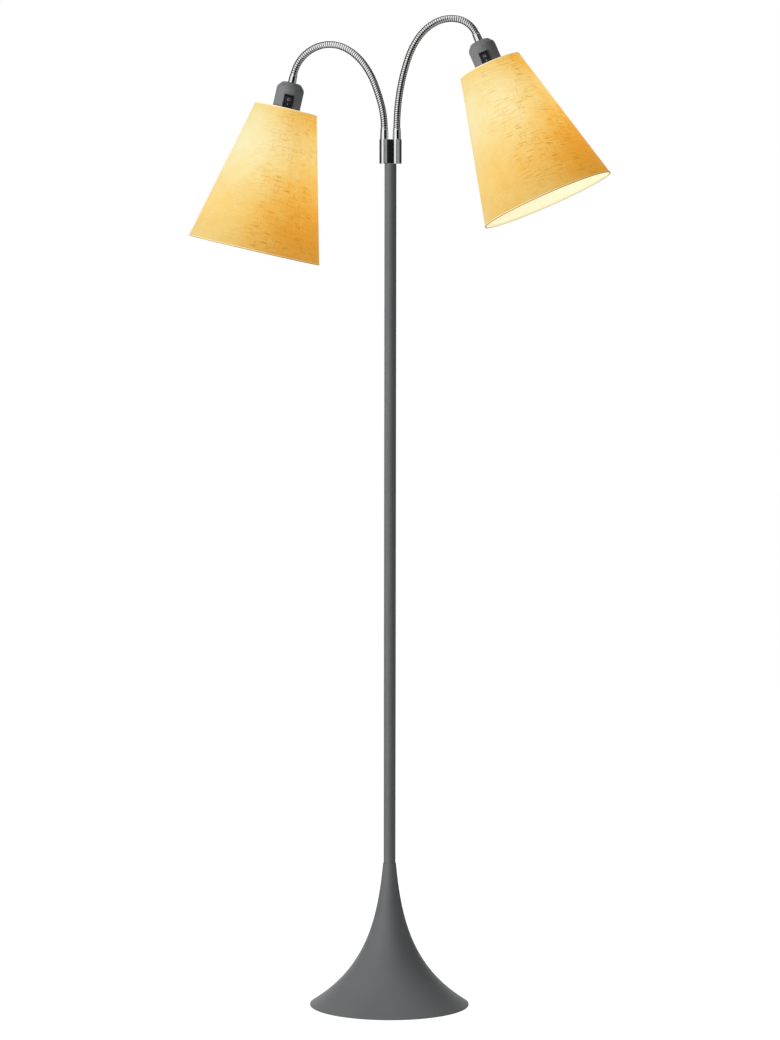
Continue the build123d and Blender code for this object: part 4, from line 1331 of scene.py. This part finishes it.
def tape_section(edge, inwards):
    """Section of a tape folded over the shade's edge: an outer strip, the fold and an inner strip. Each
    corner is given as (distance down, inset from the cone, fillet)."""
    depth = binding_thickness + fabric_thickness + liner_thickness + 2 * layer_clearance
    end, fold = edge + inwards * binding_width, edge + inwards * tape_fold
    loop = [(end, 0.0, 0.12), (edge, 0.0, 0.3), (edge, depth + binding_thickness, 0.3),
            (end, depth + binding_thickness, 0.12), (end, depth, 0.05), (fold, depth, 0.05),
            (fold, tape_fold, 0.05), (end, tape_fold, 0.05)]
    corners = [(shade_radius(down) - inset, down, fillet) for down, inset, fillet in loop]
    return rounded(*(corners[::-1] if inwards > 0 else corners), closed=True, steps=4)


def binding(name, place, edge, inwards):
    """A tape round the shade's edge; its inner side has depth 1."""
    section = tape_section(edge, inwards)
    radius, down = section[:, :1] + 0 * sheet_columns(), section[:, 1]
    inner = radius < shade_radius(down)[:, None] - fabric_thickness
    return sheet_piece(name, place, tape, radius, down, inner * 1.0)


print("tape section:", len(tape_section(shade_top, 1)), "points")

# %% [markdown]
# A cone with radii r and R, measured along its slant from the apex, unrolls into a fan with half angle h.


def keep_glow_to_camera(piece):
    """The piece's glow is seen, but it neither mirrors in the chrome nor tints the grey parts beside it."""
    piece.visible_glossy = False
    piece.visible_diffuse = False


lining_inset = binding_thickness + fabric_thickness + layer_clearance
for side, arm in ARMS.items():
    place = head_place(arm)
    cloth = conical_sheet(f"{side}_shade_linen", place, linen, binding_thickness, fabric_thickness,
                          lapped=True)
    film = conical_sheet(f"{side}_shade_lining", place, lining, lining_inset, liner_thickness)
    top = binding(f"{side}_binding_top", place, shade_top, 1)
    bottom = binding(f"{side}_binding_bottom", place, shade_bottom, -1)
    for piece, node, slot in ((cloth, "shade_fabric", "shade_linen"), (film, "shade_liner", "shade_lining"),
                              (top, "shade_bindings", "binding"), (bottom, "shade_bindings", "binding")):
        stand_in(piece, f"{side}_{node}", f"{side}_head")
        keep_glow_to_camera(piece)
print("each shade is", shade_height, "mm high and", 2 * shade_bottom_radius, "mm across its mouth")

# %% [markdown]
# ## The bulbs
#
# The globe is a sphere that draws in to its neck. Its section is a curve that eases out from the neck, and
# then an arc past the equator to the pole.

# %% Bulb globes
bulb_foot, bulb_length = 45.6, 105.0
globe_radius, globe_pole, globe_lean = 30.0, bulb_foot + bulb_length, radians(35)
bulb_neck_radius, bulb_neck_height = 12.8, 70.65


def globe_section():
    """From the neck to the pole: a cubic curve eases from the neck to the arc, and then comes the arc. The
    curve leaves straight up and meets the arc along its tangent."""
    centre = globe_pole - globe_radius
    share = np.linspace(0, 1, 16)[:, None]
    start = np.array([[bulb_neck_radius, bulb_neck_height]])
    end = np.array([[globe_radius * cos(globe_lean), centre - globe_radius * sin(globe_lean)]])
    pull, push = np.array([[0.0, 16.0]]), np.array([[-sin(globe_lean), -cos(globe_lean)]]) * 12.0
    curve = (1 - share) ** 3 * start + 3 * (1 - share) ** 2 * share * (start + pull)
    curve = curve + 3 * (1 - share) * share ** 2 * (end + push) + share ** 3 * end
    arc = np.linspace(-globe_lean, pi / 2, 36)[1:]
    ball = np.stack([globe_radius * np.cos(arc), centre + globe_radius * np.sin(arc)], -1)
    ball[-1, 0] = 0.0
    return np.concatenate([[[0.0, bulb_neck_height]], curve, ball])


for side, arm in ARMS.items():
    globe = turned(f"{side}_bulb_glass", globe_section(), head_place(arm), opal_glass, 64, closed=False)
    stand_in(globe, f"{side}_bulb_globe", f"{side}_head")
    keep_glow_to_camera(globe)
print("globe section:", len(globe_section()), "points")

# %% [markdown]
# ## Finishes on the parts that stay
#
# The parts inside the foot, the sockets, ring nuts and wire frames keep their own solids. Their shapes are
# right, so they only get their finishes.

# %% Finish the remaining parts
kept_finishes = {
    "base_weight": cast_iron, "base_plate": zinc_steel, "felt_pad": pressed_felt,
    "base_plate_screws": zinc_steel, "supply_wires": wire_sleeve,
    "cord_grommet": black_rubber, "stem_bottom_plug": zinc_steel, "stem_top_plug": zinc_steel,
    "stem_tie_nipple": zinc_steel, "stem_washer": zinc_steel, "stem_nut": zinc_steel,
}
for side in ARMS:
    kept_finishes |= {
        f"{side}_socket_insert": insulator, f"{side}_socket_contacts": brass, f"{side}_bulb_cap": bulb_metal,
        f"{side}_shade_ring_nut": holder_grey, f"{side}_shade_frame": coated_wire,
        f"{side}_shade_lower_ring": coated_wire,
    }
for name, finish in kept_finishes.items():
    for slot in frame["nodes"][name].material_slots:
        slot.material = finish
print("parts that keep their solids:", len(kept_finishes))

# %% [markdown]
# ## Floor, room and light
#
# The floor is a pale plane. Seen by the camera it glows up to white and still takes the lamp's shadow. The
# room is white to the camera as well.
#
# For reflections it is painted like a studio, by the direction that a ray leaves in. Round the camera hangs
# a black screen. Further out the paint goes round like a clock face: a window on the left and above, dark
# at the upper right, grey at the right and below. Behind the lamp it is dark, so chrome gets dark edges,
# but right behind it hangs white paper, which brightens what is seen at a grazing angle. A band just above
# eye level, which upright chrome mirrors, has its own paint by azimuth.
#
# One large soft lamp stands on the left, in front, and a weaker one hangs high up behind, so that the
# floor's shadow falls towards the camera.

# %% Floor
def floor_finish():
    """Pale diffuse floor; the camera sees it white, with the lamp's shadow left in."""
    material, tree = empty_material("floor")
    rays = add(tree, "LightPath")
    seen = maths(tree, "MAXIMUM", rays.outputs["Is Camera Ray"], rays.outputs["Is Transmission Ray"])
    plain = add(tree, "BsdfDiffuse", {"Color": (0.8, 0.8, 0.8, 1.0)})
    shadow = add(tree, "BsdfDiffuse", {"Color": (0.22, 0.22, 0.22, 1.0)})
    white = add(tree, "Emission", {"Color": (0.93, 0.93, 0.93, 1.0), "Strength": 1.0})
    bright = add(tree, "AddShader", {0: shadow.outputs[0], 1: white.outputs[0]})
    both = add(tree, "MixShader", {0: seen, 1: plain.outputs[0], 2: bright.outputs[0]})
    tree.links.new(both.outputs[0], add(tree, "OutputMaterial").inputs["Surface"])
    return material


floor_half = 40.0
mesh = bpy.data.meshes.new("floor")
mesh.from_pydata([(x * floor_half, y * floor_half, 0) for x, y in ((-1, -1), (1, -1), (1, 1), (-1, 1))], [],
                 [(0, 1, 2, 3)])
mesh.materials.append(floor_finish())
floor = new_object("floor", mesh)
floor.visible_glossy = False
print("floor:", 2 * floor_half, "m square")

# %% Clock face
screen_middle, screen_half = (0.32, -0.05), 0.5
back_axis, paper_from = (-0.383, 0.924, 0.0), 0.86


def off_screen(tree, vector):
    """0 on the black screen and 1 outside it, by the distance from its middle over its half width."""
    scale = (1 / screen_half, 0.0, 1 / screen_half)
    shift = (-screen_middle[0] / screen_half, 0.0, -screen_middle[1] / screen_half)
    oval = add(tree, "VectorMath", {0: vector, 1: scale, 2: shift}, operation="MULTIPLY_ADD").outputs[0]
    apart = add(tree, "VectorMath", {0: oval}, operation="LENGTH").outputs["Value"]
    return spread(tree, apart, 0.01, 1.0, 0.95, 1.05)


def clock_face(tree, vector, direction):
    """Paint by the angle round the view axis, from the left over below, right and above to the left again,
    dark towards the back and black on the screen at the camera; white paper right behind the lamp."""
    turn = spread(tree, maths(tree, "ARCTAN2", direction[2], direction[0]), 0.0, 1.0, -pi, pi)
    round_about = grey_ramp(tree, turn, [(0.0, 1.0), (0.08, 1.0), (0.17, 0.9), (0.25, 0.42), (0.36, 0.36),
                                         (0.5, 0.30), (0.58, 0.10), (0.67, 0.12), (0.72, 0.9), (0.80, 1.0),
                                         (1.0, 1.0)])
    towards_back = add(tree, "VectorMath", {0: vector, 1: back_axis}, operation="DOT_PRODUCT")
    depth = spread(tree, towards_back.outputs["Value"], 1.0, 0.07, 0.05, 0.13)
    behind = maths(tree, "GREATER_THAN", direction[1], 0.0)
    level = maths(tree, "MULTIPLY", depth, maths(tree, "MAXIMUM", off_screen(tree, vector), behind))
    on_paper = maths(tree, "GREATER_THAN", direction[1], paper_from)
    return tint(tree, on_paper, scaled_colour(tree, round_about, level), grey(1.0))


print("the screen's middle is", screen_middle, "off the view axis")

# %% Room
band_middle, band_half = 0.0985, 0.012


def eye_level(tree, direction):
    """Paint by azimuth in degrees, counted from the camera's side towards the right."""
    azimuth = maths(tree, "ARCTAN2", direction[0], maths(tree, "MULTIPLY", direction[1], -1.0))
    pairs = ((-180, 0.05), (-65, 0.05), (-61, 1.0), (-27, 0.95), (-22, 0.32), (-3.5, 0.29), (-2.5, 0.012),
             (2.5, 0.012), (3.5, 0.34), (62, 0.34), (67, 0.05), (100, 0.02), (180, 0.03))
    share = spread(tree, azimuth, 0.0, 1.0, -pi, pi)
    return grey_ramp(tree, share, [(angle / 360 + 0.5, level) for angle, level in pairs])


def studio_paint(tree):
    """The clock face everywhere but in the narrow band that upright chrome mirrors."""
    vector = add(tree, "TexCoord").outputs["Generated"]
    direction = add(tree, "SeparateXYZ", {0: vector}).outputs
    in_band = maths(tree, "COMPARE", direction[2], band_middle, band_half)
    return tint(tree, in_band, clock_face(tree, vector, direction), eye_level(tree, direction))


def paint_room(world):
    """White for the camera, even grey light for the pieces, and the painted studio for reflections."""
    tree = world.node_tree
    tree.nodes.clear()
    rays = add(tree, "LightPath").outputs
    plain = add(tree, "Background", {"Color": (1.0, 1.0, 1.0, 1.0), "Strength": 0.31})
    mirrored = add(tree, "Background", {"Color": studio_paint(tree), "Strength": 1.0})
    white = add(tree, "Background", {"Color": (1.0, 1.0, 1.0, 1.0), "Strength": 1.0})
    lit = add(tree, "MixShader", {0: rays["Is Glossy Ray"], 1: plain.outputs[0], 2: mirrored.outputs[0]})
    seen = maths(tree, "MAXIMUM", rays["Is Camera Ray"], rays["Is Transmission Ray"])
    both = add(tree, "MixShader", {0: seen, 1: lit.outputs[0], 2: white.outputs[0]})
    tree.links.new(both.outputs[0], add(tree, "OutputWorld").inputs["Surface"])


world = bpy.data.worlds.new("room")
world.use_nodes = True
paint_room(world)
bpy.context.scene.world = world
bpy.context.scene.view_settings.view_transform = "Standard"
print("room painted")

# %% Lamps
def soft_lamp(name, place, target, size, power):
    """A square area lamp that is not seen in reflections; the painted room is."""
    lamp = new_object(name, bpy.data.lights.new(name, "AREA"))
    lamp.data.size, lamp.data.energy = size, power
    lamp.location = place
    lamp.rotation_euler = (Vector(target) - Vector(place)).to_track_quat("-Z", "Y").to_euler()
    lamp.visible_glossy = False
    lamp.visible_camera = False
    return lamp


soft_lamp("left_window", (-3.0, -1.6, 1.9), (0, 0, 0.9), 1.6, 115.0)
soft_lamp("high_behind", (0.2, 1.8, 3.2), (0, 0, 0.2), 1.4, 45.0)
print("lamps ready")
